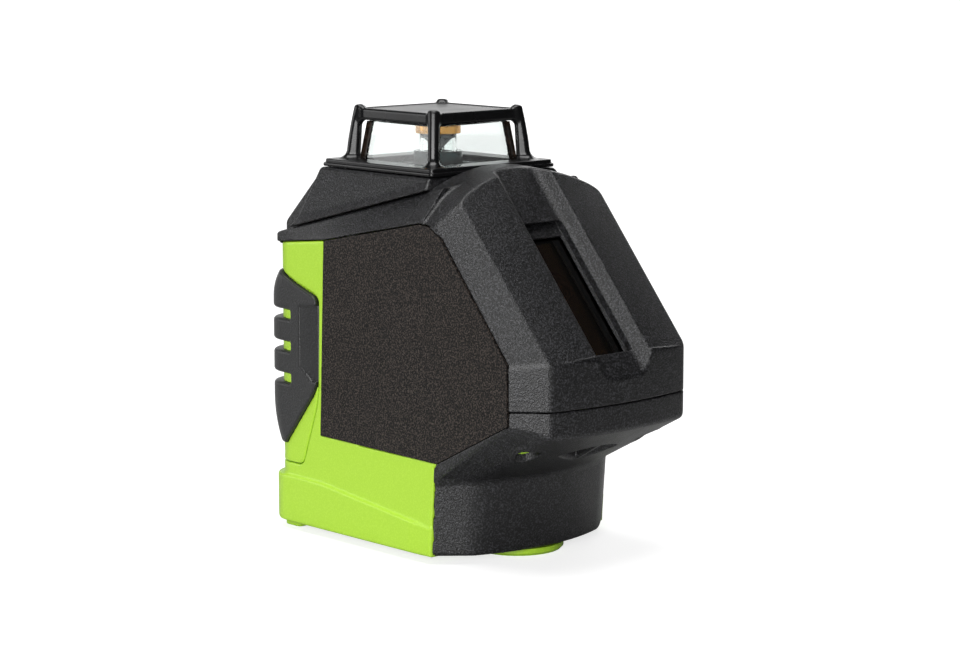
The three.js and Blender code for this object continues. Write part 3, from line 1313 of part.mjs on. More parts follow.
function makeBatteryBay() {
  const group = new THREE.Group();
  group.add(
    piece('battery_door', makeDoor(), 'limePlastic'),
    piece('rear_grip', makeGrip(), 'rubber'),
    piece('door_latch', makeLatch(), 'blackTextured'),
    piece('door_hinge_pin', makeHingePin(), 'steel'),
    piece('battery_tray', makeTray(), 'innerBlack'),
    piece('upper_contact_left', makeContact([0, 1], false), 'steel'),
    piece('upper_contact_right', makeContact([2, 3], false), 'steel'),
    piece('lower_contact_left', makeContact([0], true), 'steel'),
    piece('lower_contact_middle', makeContact([1, 2], true), 'steel'),
    piece('lower_contact_right', makeContact([3], true), 'steel'),
  );
  for (let i = 0; i < CELL_COUNT; i += 1) {
    const isUpright = i % 2 === 0;
    const place = [cellX(i), cellY, isUpright ? cellBottomZ : cellTopZ];
    const turn = [isUpright ? 0 : Math.PI, 0, 0];
    group.add(piece(`battery_cell_${i + 1}`, makeCell(), 'cellWrap', place, turn));
  }
  return group;
}

function makeGimbal() {
  const group = new THREE.Group();
  group.position.set(0, towerY, pivotZ);
  const bearingX = yokeInnerX + GAP + BEARING_WIDTH / 2;
  group.add(piece('gimbal_ring', makeRing(), 'castAlloy'));
  const pitchPin = rodX(PIN_RADIUS, pinSpan.pitch, 0, 0, 16);
  const rollPin = rodY(PIN_RADIUS, [BLOCK_HALF - ROLL_HOLE + GAP, pinSpan.roll[1]], 0, 0, 16);
  for (const [label, hand] of [['left', -1], ['right', 1]]) {
    const turn = [0, hand > 0 ? 0 : Math.PI, 0];
    group.add(
      piece(`pitch_pin_${label}`, pitchPin, 'steel', [0, 0, 0], turn),
      piece(`pitch_bearing_${label}`, makeBearing(), 'steel', [hand * bearingX, 0, 0], [0, Math.PI / 2, 0]),
    );
  }
  for (const [label, turn] of [['rear', 0], ['front', Math.PI]]) {
    group.add(piece(`roll_pin_${label}`, rollPin, 'steel', [0, 0, 0], [0, 0, turn]));
  }
  return group;
}

function makePendulumGroup() {
  const group = new THREE.Group();
  group.position.set(0, towerY, pivotZ);
  group.add(
    piece('pendulum_body', makePendulum(), 'castAlloy'),
    piece('upper_laser_module', makeUpperModule(), 'castAlloy'),
    piece('front_laser_module', makeFrontModule(), 'castAlloy'),
    piece('front_line_lens', makeFrontLens(), 'clearGlass'),
    piece('mirror_holder', makeHolder(), 'innerBlack'),
    piece('mirror_tube', makeTube(), 'clearGlass'),
    piece('cone_mirror', makeCone(), 'steel'),
    piece('mirror_cap', makeCap(), 'brass'),
    piece('damping_plate', makeDampingPlate(), 'copper'),
    piece('balance_weight', makeWeight(), 'brass'),
  );
  return group;
}

function makeInside() {
  const group = new THREE.Group();
  group.add(
    piece('chassis', makeChassis(), 'innerBlack'),
    piece('control_board', makeBoard(), 'boardGreen'),
    piece('damping_magnet', makeMagnet(), 'steel', [0, towerY, 0]),
    piece('lock_slider', makeSlider(), 'blackTextured'),
    piece('lock_plunger', makePlunger(), 'rubber'),
  );
  return group;
}

const group = new THREE.Group();
group.add(
  makeCase(), makeKeys(), makeTower(), makeBatteryBay(), makeGimbal(), makePendulumGroup(), makeInside(),
);

export default group;
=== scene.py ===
"""A self-levelling line laser: moulded covers, rubber grip, caged ring window and sloping nose window.

The moulded pieces are described as distance fields in millimetres, in which every edge has its own
radius, and a surface is drawn through each field. Screws, springs and rings are Geometry Nodes.
"""

import math

import bmesh
import bpy
import numpy as np
from mathutils import Matrix, Vector


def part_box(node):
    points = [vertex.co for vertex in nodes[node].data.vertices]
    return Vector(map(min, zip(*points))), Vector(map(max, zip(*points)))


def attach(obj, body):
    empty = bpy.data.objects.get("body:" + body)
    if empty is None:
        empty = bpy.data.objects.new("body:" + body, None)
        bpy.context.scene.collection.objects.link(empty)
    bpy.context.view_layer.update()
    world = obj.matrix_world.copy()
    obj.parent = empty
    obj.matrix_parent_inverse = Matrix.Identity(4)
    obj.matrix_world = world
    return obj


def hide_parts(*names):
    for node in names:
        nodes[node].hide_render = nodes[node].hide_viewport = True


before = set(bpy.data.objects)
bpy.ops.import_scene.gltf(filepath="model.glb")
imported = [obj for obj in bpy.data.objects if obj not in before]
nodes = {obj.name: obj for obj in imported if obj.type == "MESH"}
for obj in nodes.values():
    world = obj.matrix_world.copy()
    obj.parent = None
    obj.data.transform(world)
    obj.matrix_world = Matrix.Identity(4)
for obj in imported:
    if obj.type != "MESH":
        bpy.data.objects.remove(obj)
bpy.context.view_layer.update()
MM = 0.001


# ---- places taken from the frame
def node_box(name):
    """The lowest and highest corners of a CAD node, in millimetres."""
    low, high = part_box(name)
    return np.array(low) / MM, np.array(high) / MM


def node_centre(name):
    low, high = node_box(name)
    return (low + high) / 2


HALF = node_box("right_side_panel")[1][0]
FRONT = node_box("front_base_cover")[0][1]
REAR = node_box("battery_door")[1][1]
BASE = node_box("front_base_cover")[0][2]
DECK = node_box("top_cover")[1][2]
SEAM = (node_box("front_base_cover")[1][2] + node_box("front_cover")[0][2]) / 2
TOWER = node_centre("window_guard")[1]
GUARD_TOP = node_box("window_guard")[1][2]
GUARD_HALF = node_box("window_guard")[1][0]
HINGE = node_centre("door_hinge_pin")
PIVOT = node_centre("gimbal_ring")
TRIPOD = node_centre("tripod_boss")
GAP = 0.3
WALL = 2.4

NOSE_BULGE = 3
CORNER_Y = FRONT + NOSE_BULGE
TIP_HALF = HALF - 8.8
NOSE_SIDE_Y = CORNER_Y + 9.3
CREASE = SEAM + 14.15
SLAB_TOP_Y = TOWER - 41.2
SLAB_TOP = DECK - 4.7
SLAB_RUN = math.hypot(SLAB_TOP_Y - CORNER_Y, SLAB_TOP - CREASE)
SLAB_COS = (SLAB_TOP_Y - CORNER_Y) / SLAB_RUN
SLAB_SIN = (SLAB_TOP - CREASE) / SLAB_RUN
PYRAMID_FRONT = TOWER - GUARD_HALF - 0.5
BRIM_SLOPE = 0.27


def brim_top(y):
    """Height of the parting line under the pyramid cover."""
    return DECK - 3.7 - (y - PYRAMID_FRONT) * BRIM_SLOPE


TOE = (NOSE_SIDE_Y + 31.3, BASE + 26.8)
SIDE = {
    "toe_low": (NOSE_SIDE_Y + 33, BASE),
    "toe_high": TOE,
    "panel_toe": (NOSE_SIDE_Y + 30.3, BASE + 28.4),
    "nose_low": (NOSE_SIDE_Y, SEAM - 4.15),
    "nose_high": (NOSE_SIDE_Y + 0.2, CREASE - 0.7),
    "chamfer_top": (SLAB_TOP_Y + 0.2, SLAB_TOP - 11.1),
    "band_foot": (SLAB_TOP_Y + 5.2, DECK - 12.8),
    "band_start": (SLAB_TOP_Y + 9.4, DECK - 12.3),
    "panel_top": (TOWER + 12.1, DECK - 21),
    "panel_heel": (TOWER + 14.3, BASE + 29.3),
    "rear_top": (REAR, DECK - 23.6),
}


# ---- distance fields, in millimetres
def meet(first, second, radius=0.0):
    """The solid inside both, with the edge between them rounded."""
    if radius <= 0:
        return np.maximum(first, second)
    corner = np.hypot(np.maximum(first + radius, 0), np.maximum(second + radius, 0))
    return np.minimum(np.maximum(first, second), -radius) + corner


def meet_all(radius, first, *others):
    for other in others:
        first = meet(first, other, radius)
    return first


def join(first, second, radius=0.0):
    """The solid inside either, with a fillet where they meet."""
    return -meet(-first, -second, radius)


def cut(first, second, radius=0.0):
    """The first without the second, with the new edge rounded."""
    return meet(first, -second, radius)


def between(value, low, high):
    return np.maximum(low - value, value - high)


def rod(u, v, radius):
    return np.hypot(u, v) - radius


def rounded_box(u, v, half_u, half_v, radius):
    """A rectangle with round corners, centred on zero."""
    du, dv = np.abs(u) - half_u + radius, np.abs(v) - half_v + radius
    return np.hypot(np.maximum(du, 0), np.maximum(dv, 0)) + np.minimum(np.maximum(du, dv), 0) - radius


def plane(x, y, z, point, normal):
    """Distance above the plane through a point, with the normal facing out."""
    n = Vector(normal).normalized()
    return (x - point[0]) * n.x + (y - point[1]) * n.y + (z - point[2]) * n.z


def plane_through(x, y, z, a, b, c):
    """Distance above the plane through three points, listed anticlockwise from outside."""
    normal = (Vector(b) - Vector(a)).cross(Vector(c) - Vector(a))
    return plane(x, y, z, a, normal)


def outline(u, v, points):
    """Distance to a closed outline, negative inside it."""
    u, v = np.broadcast_arrays(np.asarray(u, float), np.asarray(v, float))
    nearest = np.full(u.shape, np.inf)
    inside = np.zeros(u.shape, bool)
    for (u0, v0), (u1, v1) in zip(points, points[1:] + points[:1]):
        du, dv = u1 - u0, v1 - v0
        share = np.clip(((u - u0) * du + (v - v0) * dv) / (du * du + dv * dv), 0, 1)
        nearest = np.minimum(nearest, (u - u0 - share * du) ** 2 + (v - v0 - share * dv) ** 2)
        if v1 != v0:
            inside ^= ((v0 <= v) != (v1 <= v)) & (u < u0 + (v - v0) / (v1 - v0) * du)
    return np.where(inside, -1, 1) * np.sqrt(nearest)


def rounded(points, radii, steps=6):
    """An outline with some of its corners turned to arcs."""
    result = []
    for i, corner in enumerate(points):
        radius = radii[i] if isinstance(radii, (list, tuple)) else radii
        if not radius:
            result.append(corner)
            continue
        at = Vector(corner)
        before = (Vector(points[i - 1]) - at).normalized()
        after = (Vector(points[(i + 1) % len(points)]) - at).normalized()
        half_angle = before.angle(after) / 2
        centre = at + (before + after).normalized() * (radius / math.sin(half_angle))
        start = at + before * (radius / math.tan(half_angle)) - centre
        end = at + after * (radius / math.tan(half_angle)) - centre
        sweep = math.atan2(start.x * end.y - start.y * end.x, start.dot(end))
        for k in range(steps + 1):
            turn = Matrix.Rotation(sweep * k / steps, 2)
            result.append(tuple(centre + turn @ start))
    return result


# ---- surfaces drawn through fields
COARSE = 1.0
EDGE_CORNERS = [(0, 0), (1, 0), (1, 1), (0, 1)]


def surface(field, low, high, step):
    """Vertices and quads of the surface where the field is zero."""
    axes = [np.arange(a - 1.5 * step, b + 2.5 * step, step) for a, b in zip(low, high)]
    grid = np.meshgrid(*axes, indexing="ij", sparse=True)
    value = np.broadcast_to(field(*grid), [len(a) for a in axes])
    solid = value < 0
    corners = [solid[i:len(axes[0]) - 1 + i, j:len(axes[1]) - 1 + j, k:len(axes[2]) - 1 + k]
               for i in (0, 1) for j in (0, 1) for k in (0, 1)]
    count = np.sum(corners, axis=0, dtype=np.int8)
    active = (count > 0) & (count < 8)
    cells = np.argwhere(active)
    number = np.full(active.shape, -1)
    number[active] = np.arange(len(cells))
    points = origin_of(axes) + (cell_points(value, cells) + cells) * step
    points = drawn_to(field, points, step)
    return points, cell_quads(solid, number)


def origin_of(axes):
    return np.array([axis[0] for axis in axes])


def cell_points(value, cells):
    """The mean place where the field changes sign on each cell's edges."""
    total = np.zeros((len(cells), 3))
    hits = np.zeros(len(cells))
    for axis in range(3):
        for first, second in EDGE_CORNERS:
            start = np.insert(np.array([first, second]), axis, 0)
            end = start.copy()
            end[axis] = 1
            a = value[tuple((cells + start).T)]
            b = value[tuple((cells + end).T)]
            crossed = (a < 0) != (b < 0)
            share = np.where(crossed, a / np.where(crossed, a - b, 1), 0)
            place = np.tile(start.astype(float), (len(cells), 1))
            place[:, axis] = share
            total += place * crossed[:, None]
            hits += crossed
    return total / hits[:, None]


def cell_quads(solid, number):
    quads = []
    for axis in range(3):
        order = (axis, (axis + 1) % 3, (axis + 2) % 3)
        inside, index = solid.transpose(order), number.transpose(order)
        edge = inside[:-1, 1:-1, 1:-1] != inside[1:, 1:-1, 1:-1]
        i, j, k = np.nonzero(edge)
        quad = np.stack([index[i, j, k], index[i, j + 1, k], index[i, j + 1, k + 1], index[i, j, k + 1]], 1)
        leaving = inside[i, j + 1, k + 1]
        quad[~leaving] = quad[~leaving, ::-1]
        quads.append(quad)
    return np.concatenate(quads)


def slope_of(field, points, reach=0.02):
    """The direction and rate in which the field grows at each point."""
    steps = reach * np.eye(3)
    return np.stack([(field(*(points + step).T) - field(*(points - step).T)) / (2 * reach) for step in steps], 1)


def drawn_to(field, points, step, rounds=4):
    """Points moved along the field's slope until they lie on the surface."""
    for _ in range(rounds):
        here = field(*points.T)
        slope = slope_of(field, points)
        move = slope * (here / np.maximum((slope ** 2).sum(1), 0.05))[:, None]
        length = np.linalg.norm(move, axis=1, keepdims=True)
        points = points - move * np.minimum(1, 0.5 * step / np.maximum(length, 1e-9))
    return points


def in_scene(name, data):
    """An object that holds the data, linked into the scene."""
    thing = bpy.data.objects.new(name, data)
    bpy.context.scene.collection.objects.link(thing)
    return thing


def new_object(name, vertices, faces, smooth=True):
    mesh = bpy.data.meshes.new(name)
    mesh.from_pydata([tuple(v) for v in vertices], [], [tuple(f) for f in faces])
    mesh.validate()
    if smooth:
        mesh.shade_smooth()
    return in_scene(name, mesh)


def moulded(name, field, low, high, step, keep):
    """A piece drawn through a field. The flat parts are then thinned to a share of their faces."""
    points, quads = surface(field, low, high, step * COARSE)
    piece = new_object(name, points * MM, quads)
    thin = piece.modifiers.new("thin", "DECIMATE")
    thin.ratio = keep
    piece = flattened(piece)
    places = np.array([tuple(v.co) for v in piece.data.vertices]) / MM
    normals = slope_of(field, places)
    normals /= np.maximum(np.linalg.norm(normals, axis=1, keepdims=True), 1e-6)
    piece.data.normals_split_custom_set_from_vertices([tuple(n) for n in normals])
    return piece


def flattened(piece):
    """The piece with its modifiers applied to its mesh."""
    bpy.context.view_layer.update()
    graph = bpy.context.evaluated_depsgraph_get()
    mesh = bpy.data.meshes.new_from_object(piece.evaluated_get(graph))
    piece.modifiers.clear()
    old = piece.data
    mesh.name = piece.name
    piece.data = mesh
    bpy.data.meshes.remove(old)
    return piece


# ---- shapes shared by the body's pieces
FAR = 400


def plan(x, y, inset=0.0):
    """The body from above: flat sides and round rear corners, open at the front."""
    return meet(np.abs(x) - HALF + inset, y - REAR + inset, 8 - inset)


HOUSING_SIDE = rounded(
    [SIDE["toe_low"], (REAR, BASE), SIDE["rear_top"], SIDE["panel_top"], SIDE["band_start"],
     SIDE["band_foot"], SIDE["chamfer_top"], SIDE["nose_high"], SIDE["nose_low"], SIDE["panel_toe"],
     SIDE["toe_high"]],
    [0, 6, 0, 0, 0, 0, 0, 0, 0, 0, 0],
)
SKIRT_SIDE = rounded(
    [SIDE["toe_low"], (REAR + 3.2, BASE), (REAR + 3.2, BASE + 14.8), (TOWER + 13.2, BASE + 14.3),
     (SIDE["toe_low"][0] - 0.6, BASE + 8.6)],
    [0, 6, 0, 0, 0],
)
PANEL_SIDE = [SIDE[key] for key in (
    "panel_top", "panel_heel", "panel_toe", "nose_low", "nose_high", "chamfer_top", "band_foot", "band_start",
)]
SKIRT_REAR = 2.2
SCREW_BORE = 1.7
TRIPOD_CLEAR = 9.3
DOOR_BOTTOM = BASE + 19
DOOR_TOP = DOOR_BOTTOM + 60
DOOR_FRONT = REAR - 22.2
DOOR_SIDE = rounded(
    [(DOOR_FRONT + 0.6, DOOR_BOTTOM + 21), (DOOR_FRONT + 8.2, DOOR_BOTTOM), (FAR, DOOR_BOTTOM),
     (FAR, DOOR_TOP), (REAR - 3.2, DOOR_TOP), (REAR - 11, DOOR_TOP - 3.4), (DOOR_FRONT, DOOR_TOP - 7)],
    [30, 3, 0, 0, 3, 8, 3],
)
GRIP_SIDE = rounded(
    [(DOOR_FRONT + 0.1, DOOR_BOTTOM + 25.2), (REAR - 6.5, DOOR_BOTTOM + 5.8), (FAR, DOOR_BOTTOM + 6.5),
     (FAR, DOOR_TOP - 0.1), (REAR - 3.2, DOOR_TOP - 0.1), (REAR - 11, DOOR_TOP - 3.5),
     (DOOR_FRONT + 0.1, DOOR_TOP - 7.1)],
    [12, 1, 0, 0, 3, 8, 3],
)
SCREW_X = HALF - 11.6
SCREW_Y = NOSE_SIDE_Y + 3.5
LATCH_Z = DOOR_TOP - 5.5
LOCK_Y, LOCK_Z = TOWER + 3, BASE + 21.5
BARREL = 2.6
PIN_BORE = 1.25
BARREL_IN, BARREL_OUT = 22.3, 26.3
KNUCKLE_IN, KNUCKLE_OUT = 12, 22
# The grip reaches this far under the body's outside, and the door's pocket for it a little further.
GRIP_SEAT, GRIP_POCKET = 0.8, 0.85
GRIP_PITCH, GRIP_SLOT = 10, 1.5
GRIP_MIDDLE = (DOOR_BOTTOM + DOOR_TOP) / 2 + 6.4


def hinge_rod(y, z, radius):
    return rod(y - HINGE[1], z - HINGE[2], radius)


def nose_screw_rod(x, y, radius):
    return rod(np.abs(x) - SCREW_X, y - SCREW_Y, radius)


def tripod_room(x, y, z):
    """The room round the tripod boss, through the floor."""
    return meet(rod(x, y - TRIPOD[1], TRIPOD_CLEAR), z - BASE - WALL - 1)


def bow(x, half, rise):
    """How far an arc of that half width and rise has fallen back at x."""
    radius = (half ** 2 + rise ** 2) / (2 * rise)
    return radius - np.sqrt(np.maximum(radius ** 2 - np.minimum(np.abs(x), radius * 0.9) ** 2, 1))


def slab_depth(x, y, z):
    """Distance out of the sloping face, which bows across the nose."""
    face = FRONT + bow(x, TIP_HALF, NOSE_BULGE) + (z - CREASE) * SLAB_COS / SLAB_SIN
    return (face - y) * SLAB_SIN


def slab_place(y, z):
    """Distance up the slope from the crease, and out of the flat plane at the middle of the nose."""
    along = (y - FRONT) * SLAB_COS + (z - CREASE) * SLAB_SIN
    out = -(y - FRONT) * SLAB_SIN + (z - CREASE) * SLAB_COS
    return along, out


def nose_walls(x, y, z, inset=0.0):
    """The upright walls round the nose: sides, corner facets and the bowed front."""
    wide = np.abs(x)
    corner = plane(wide, y, z, (HALF, NOSE_SIDE_Y, 0), (9.3, -8.8, 0))
    front = FRONT + bow(x, TIP_HALF, NOSE_BULGE) - y
    return wide - HALF + inset, corner + inset, front + inset


# ---- green housing
def housing_field(x, y, z):
    wide = np.abs(x)
    shell = meet(plan(x, y), outline(y, z, HOUSING_SIDE), 0.7)
    stand = 0.75 * np.clip((y - SIDE["toe_low"][0]) / 9, 0, 1)
    ring = meet(wide - HALF - stand, y - REAR - stand - SKIRT_REAR, 9)
    skirt = meet(ring, outline(y, z, SKIRT_SIDE), 0.7)
    body = join(shell, skirt, 0.9)
    foot = meet(rounded_box(wide - HALF + 6, y - REAR + 4.7, 3, 3.7, 1.5), between(z, 0, BASE + 1), 0.5)
    body = join(body, foot, 0.4)
    room = meet(plan(x, y, WALL), BASE + WALL - z, 1)
    body = cut(body, room, 0.2)
    body = cut(body, outline(y, z, DOOR_SIDE) - GAP, 0.35)
    recess = meet(outline(y, z, PANEL_SIDE) - 0.1, HALF - 1.2 - wide)
    covered = ((y < SIDE["band_start"][0] + 1) & (z > SEAM)) | (y < SIDE["panel_toe"][0])
    body = cut(body, np.where(covered, -outline(y, z, PANEL_SIDE) - 1.5, 1.5))
    body = cut(body, recess, 0.15)
    return housing_fittings(body, x, y, z)


def housing_room(x, y, z):
    """The room that the black covers leave for the housing. Their lips run on to the panel's edge."""
    inner = meet(outline(y, z, HOUSING_SIDE) - GAP, np.abs(x) - HALF + 1.35)
    behind = outline(y, z, HOUSING_SIDE) - GAP
    lip = np.where(y < SIDE["band_foot"][0], outline(y, z, PANEL_SIDE) - 0.12, behind)
    return join(inner, lip)


def housing_fittings(body, x, y, z):
    wide = np.abs(x)
    lugs = between(wide, BARREL_IN, BARREL_OUT)
    barrel = meet(hinge_rod(y, z, BARREL), lugs, 0.2)
    stem = meet(between(y, HINGE[1] - BARREL, REAR - 0.4), between(z, DOOR_BOTTOM - 4, HINGE[2]), 0.2)
    body = join(body, join(barrel, meet(stem, lugs, 0.2)), 0.3)
    body = cut(body, hinge_rod(y, z, PIN_BORE), 0.1)
    notch = meet(wide - 6.5, between(z, DOOR_TOP - 1, DOOR_TOP + 3.5), 0.5)
    body = cut(body, meet(notch, REAR - WALL - 1 - y), 0.3)
    body = cut(body, tripod_room(x, y, z), 0.3)
    screw = meet(rod(wide - 24, y - REAR + 13, 2.9), z - BASE - 1.6)
    body = cut(body, join(screw, meet(rod(wide - 24, y - REAR + 13, SCREW_BORE), z - BASE - 4)), 0.25)
    slot = rounded_box(y - LOCK_Y + 3, z - LOCK_Z, 5 + GAP, 1.8, 0.8)
    dish = rounded_box(y - LOCK_Y + 3, z - LOCK_Z, 9 + GAP, 3.8, 2)
    body = cut(body, meet(slot, HALF - WALL - 1 - x), 0.2)
    return cut(body, meet(dish, HALF - 0.9 - x), 0.25)


# ---- black covers
CHANNEL_HALF = 11.4
CHANNEL_FLOOR = 8.2
CHANNEL_DEPTH = 4.2
WINDOW_DEPTH = 7.5
WINDOW_START, WINDOW_END = 3.6, 49.8
SLAB_RECESS = 0.4


def brow_top(x, y):
    rise = 6.5 * (1 - np.minimum(np.abs(x) / TIP_HALF, 1.2) ** 2)
    return SLAB_TOP + (y - SLAB_TOP_Y) * 0.064 + rise


def nose_shell(x, y, z, inset=0.0):
    """The nose above its parting line as one solid."""
    wide = np.abs(x)
    side, corner, front = nose_walls(x, y, z, inset)
    slab = slab_depth(x, y, z) + inset
    facet = plane_through(
        wide, y, z, (HALF, *SIDE["nose_high"]), (HALF, *SIDE["chamfer_top"]), (TIP_HALF, CORNER_Y, CREASE),
    )
    shoulder = plane(wide, y, z, (TIP_HALF, SLAB_TOP_Y, SLAB_TOP), (0.684, -0.042, 0.728)) + inset
    top = (z - brow_top(x, y)) * 0.93 + inset
    body = meet_all(0.7, side, corner, front)
    slope = meet(facet + inset, slab, 0.6)
    body = meet(body, slope, 0.6)
    body = meet(body, shoulder, 0.8)
    return meet(body, top, 1.0)


def slab_dish(x, y, z):
    """The shallow dish of the sloping face, with a soft step at its sides and head."""
    along, _ = slab_place(y, z)
    area = rounded_box(x, along - SLAB_RUN / 2 - 5.3, TIP_HALF + 3, SLAB_RUN / 2 + 4.0, 1.0)
    return meet(area, -(slab_depth(x, y, z) + SLAB_RECESS), 0.4)


def channel(x, y, z):
    """The channel down the nose and the window opening in its floor."""
    _, out = slab_place(y, z)
    wide = np.abs(x)
    flank = ((wide - CHANNEL_FLOOR) * CHANNEL_DEPTH - (out + CHANNEL_DEPTH) * (CHANNEL_HALF - CHANNEL_FLOOR))
    flank = flank / math.hypot(CHANNEL_DEPTH, CHANNEL_HALF - CHANNEL_FLOOR)
    return meet(flank, -(out + CHANNEL_DEPTH), 1.4)


def window_opening(x, y, z):
    along, out = slab_place(y, z)
    wide = np.abs(x)
    ramp = (along + out - WINDOW_END + CHANNEL_DEPTH) * math.sqrt(0.5)
    hole = meet_all(0.5, wide - 7.8, WINDOW_START - along, ramp)
    ledge = meet_all(0.3, wide - 7.1, WINDOW_START + 0.5 - along, along - WINDOW_END + 3.9)
    hole = meet(hole, -(out + WINDOW_DEPTH - 1.1), 0.15)
    return join(hole, meet(ledge, between(out, -WINDOW_DEPTH - 8, 0)))


def brim_shell(x, y, z):
    """The collar that runs from the nose round the rear and carries the pyramid cover."""
    wide = np.abs(x)
    rear = meet(wide - HALF - 0.7, y - REAR - 1.8, 8.2)
    share = np.clip((y - PYRAMID_FRONT) / (REAR - 9.3 - PYRAMID_FRONT), 0, 1.2)
    foot_x = HALF - 8.9 + share * 8.3
    foot_z = brim_top(y)
    low_x, low_z = HALF + 0.7, DECK - 12.9 - (y - SIDE["band_start"][0]) * 0.21
    run = np.hypot(foot_x - low_x, foot_z - low_z)
    side = ((wide - low_x) * (foot_z - low_z) - (z - low_z) * (foot_x - low_x)) / run
    body = meet(rear, side, 1.4)
    tail = plane(x, y, z, (0, REAR + 1.8, DECK - 19.5), (0, 0.86, 0.5))
    body = meet(body, tail, 3)
    body = meet(body, DECK - 24.6 - z, 1.2)
    body = meet(body, SIDE["band_start"][0] - 1 - y, 0)
    return meet(body, z - foot_z + GAP / 2, 0.7)


def front_cover_field(x, y, z):
    wide = np.abs(x)
    nose = meet(nose_shell(x, y, z), y - PYRAMID_FRONT + GAP, 0.4)
    nose = cut(nose, slab_dish(x, y, z), 0.25)
    body = join(nose, brim_shell(x, y, z), 1.2)
    _, out = slab_place(y, z)
    bed = meet(wide - CHANNEL_HALF - 1.5, -(out + WINDOW_DEPTH - GAP), 0.5)
    room = cut(meet(nose_shell(x, y, z, WALL), y - PYRAMID_FRONT - 2, 0), bed, 0)
    lid_room = meet_all(
        1, wide - 24.4 - (y - PYRAMID_FRONT) * 0.156, PYRAMID_FRONT + 2 - y, y - REAR + WALL + 2.6,
    )
    body = cut(body, join(room, lid_room), 0.3)
    body = cut(body, housing_room(x, y, z), 0.25)
    boss = meet(nose_screw_rod(x, y, 4), nose_shell(x, y, z, 1), 0)
    body = join(body, boss, 0.5)
    body = cut(body, meet(nose_screw_rod(x, y, SCREW_BORE), z - SEAM - 14), 0.1)
    body = cut(body, channel(x, y, z), 0.6)
    body = cut(body, window_opening(x, y, z), 0.35)
    return meet(body, SEAM + 0.12 - z, 0.3)


def base_room(x, y, z):
    """The room that the base cover leaves for the housing. Its lip ends where the panel's toe does."""
    inner = meet(outline(y, z, HOUSING_SIDE) - GAP, np.abs(x) - HALF + 1.35)
    lip = np.where(z > SIDE["panel_toe"][1], outline(y, z, PANEL_SIDE) - 0.12, outline(y, z, HOUSING_SIDE) - 0.15)
    return join(inner, lip)


BLOCK_HALF = HALF - 9.7
BLOCK_DEEP = 8.4
BLOCK_BULGE = 5.5
BLOCK_FRONT = TOE[0] - BLOCK_DEEP - BLOCK_BULGE


def nose_underside(x, y, z, inset=0.0):
    """The underside of the nose, which runs back and down to the base block."""
    top, bottom = SEAM - 7.95, TOE[1] - 3.8
    share = (top - z) / (top - bottom)
    upper = FRONT + bow(x, TIP_HALF, NOSE_BULGE)
    lower = BLOCK_FRONT + bow(x, BLOCK_HALF, BLOCK_BULGE)
    slope = (lower - upper) / (top - bottom)
    belly = (upper + share * (lower - upper) - y) / np.sqrt(1 + slope ** 2)
    wide = np.abs(x)
    side, heel = (HALF, *SIDE["nose_low"]), (HALF, TOE[0], bottom)
    tip, chin = (TIP_HALF, CORNER_Y, top), (BLOCK_HALF, BLOCK_FRONT + BLOCK_BULGE, bottom)
    facet = join(plane_through(wide, y, z, side, chin, heel), plane_through(wide, y, z, side, tip, chin), 2)
    return meet(belly + inset, facet + inset, 0.9)


def base_block(x, y, z, inset=0.0):
    """The upright block that stands under the nose, a little narrower at its foot."""
    wide = np.abs(x)
    draft = (TOE[1] - 3.8 - z) * 0.08
    front = BLOCK_FRONT + bow(x, BLOCK_HALF, BLOCK_BULGE) + draft - y
    corner = plane(wide, y - draft, z, (HALF, TOE[0], 0), (BLOCK_DEEP, BLOCK_HALF - HALF, 0))
    return meet_all(1.0, wide - HALF + inset, corner + inset, front + inset)


def front_base_field(x, y, z):
    wide = np.abs(x)
    walls = meet_all(0.8, *nose_walls(x, y, z))
    nose = meet(walls, nose_underside(x, y, z), 0.9)
    block = meet(base_block(x, y, z), BASE - z, 1.2)
    body = join(nose, meet(block, z - SEAM + 5, 0), 1.5)
    inner_nose = meet(meet_all(0.5, *nose_walls(x, y, z, WALL)), nose_underside(x, y, z, WALL), 0.5)
    inner_block = meet(base_block(x, y, z, WALL), BASE + WALL - z, 0.5)
    body = cut(body, join(inner_nose, meet(inner_block, z - SEAM + 5, 0), 0.5), 0.3)
    post = meet(nose_screw_rod(x, y, 5), meet(nose, z - SEAM + 0.4, 0), 0)
    body = join(body, post, 0.4)
    well = meet(nose_screw_rod(x, y, 3.6), z - SEAM + 6, 0.3)
    body = cut(body, join(well, nose_screw_rod(x, y, SCREW_BORE)), 0.35)
    slot = np.abs(y - NOSE_SIDE_Y - 3.3) - 4.2 * (1 - (x / 12) ** 2)
    slot = meet(slot * 0.8, meet(wide - 12, 1 - wide), 0.3)
    body = cut(body, meet(slot, between(z, BASE + 15, SEAM - 3)), 0.4)
    body = cut(body, base_room(x, y, z), 0.25)
    body = cut(body, tripod_room(x, y, z), 0.3)
    return meet(body, z - SEAM + 0.12, 0.3)


def pyramid_walls(x, y, z, inset=0.0):
    wide = np.abs(x)
    side = plane(wide, y, z, (GUARD_HALF + 1, 0, DECK), (18, 0, 9.5))
    rear = plane(x, y, z, (0, TOWER + GUARD_HALF + 1, DECK), (0, 18, 1.8))
    front = plane(x, y, z, (0, TOWER - GUARD_HALF, DECK), (0, -3.7, 0.5))
    return meet(meet(side + inset, rear + inset, 1.3), front + inset, 0.8)


def top_cover_field(x, y, z):
    foot = z - brim_top(y) - GAP / 2
    flare = 1.1 * np.clip(1 - foot / 3.5, 0, 1) ** 2
    body = meet(pyramid_walls(x, y, z, -flare), z - DECK, 0.9)
    body = cut(body, meet(pyramid_walls(x, y, z, WALL), z - DECK + WALL, 1), 0.3)
    body = cut(body, rounded_box(x, y - TOWER, 14.8, 14.8, 2), 0.3)
    return meet(body, -foot * 0.965, 0.3)


# ---- guard over the ring window
PANE_LEAN = 0.138


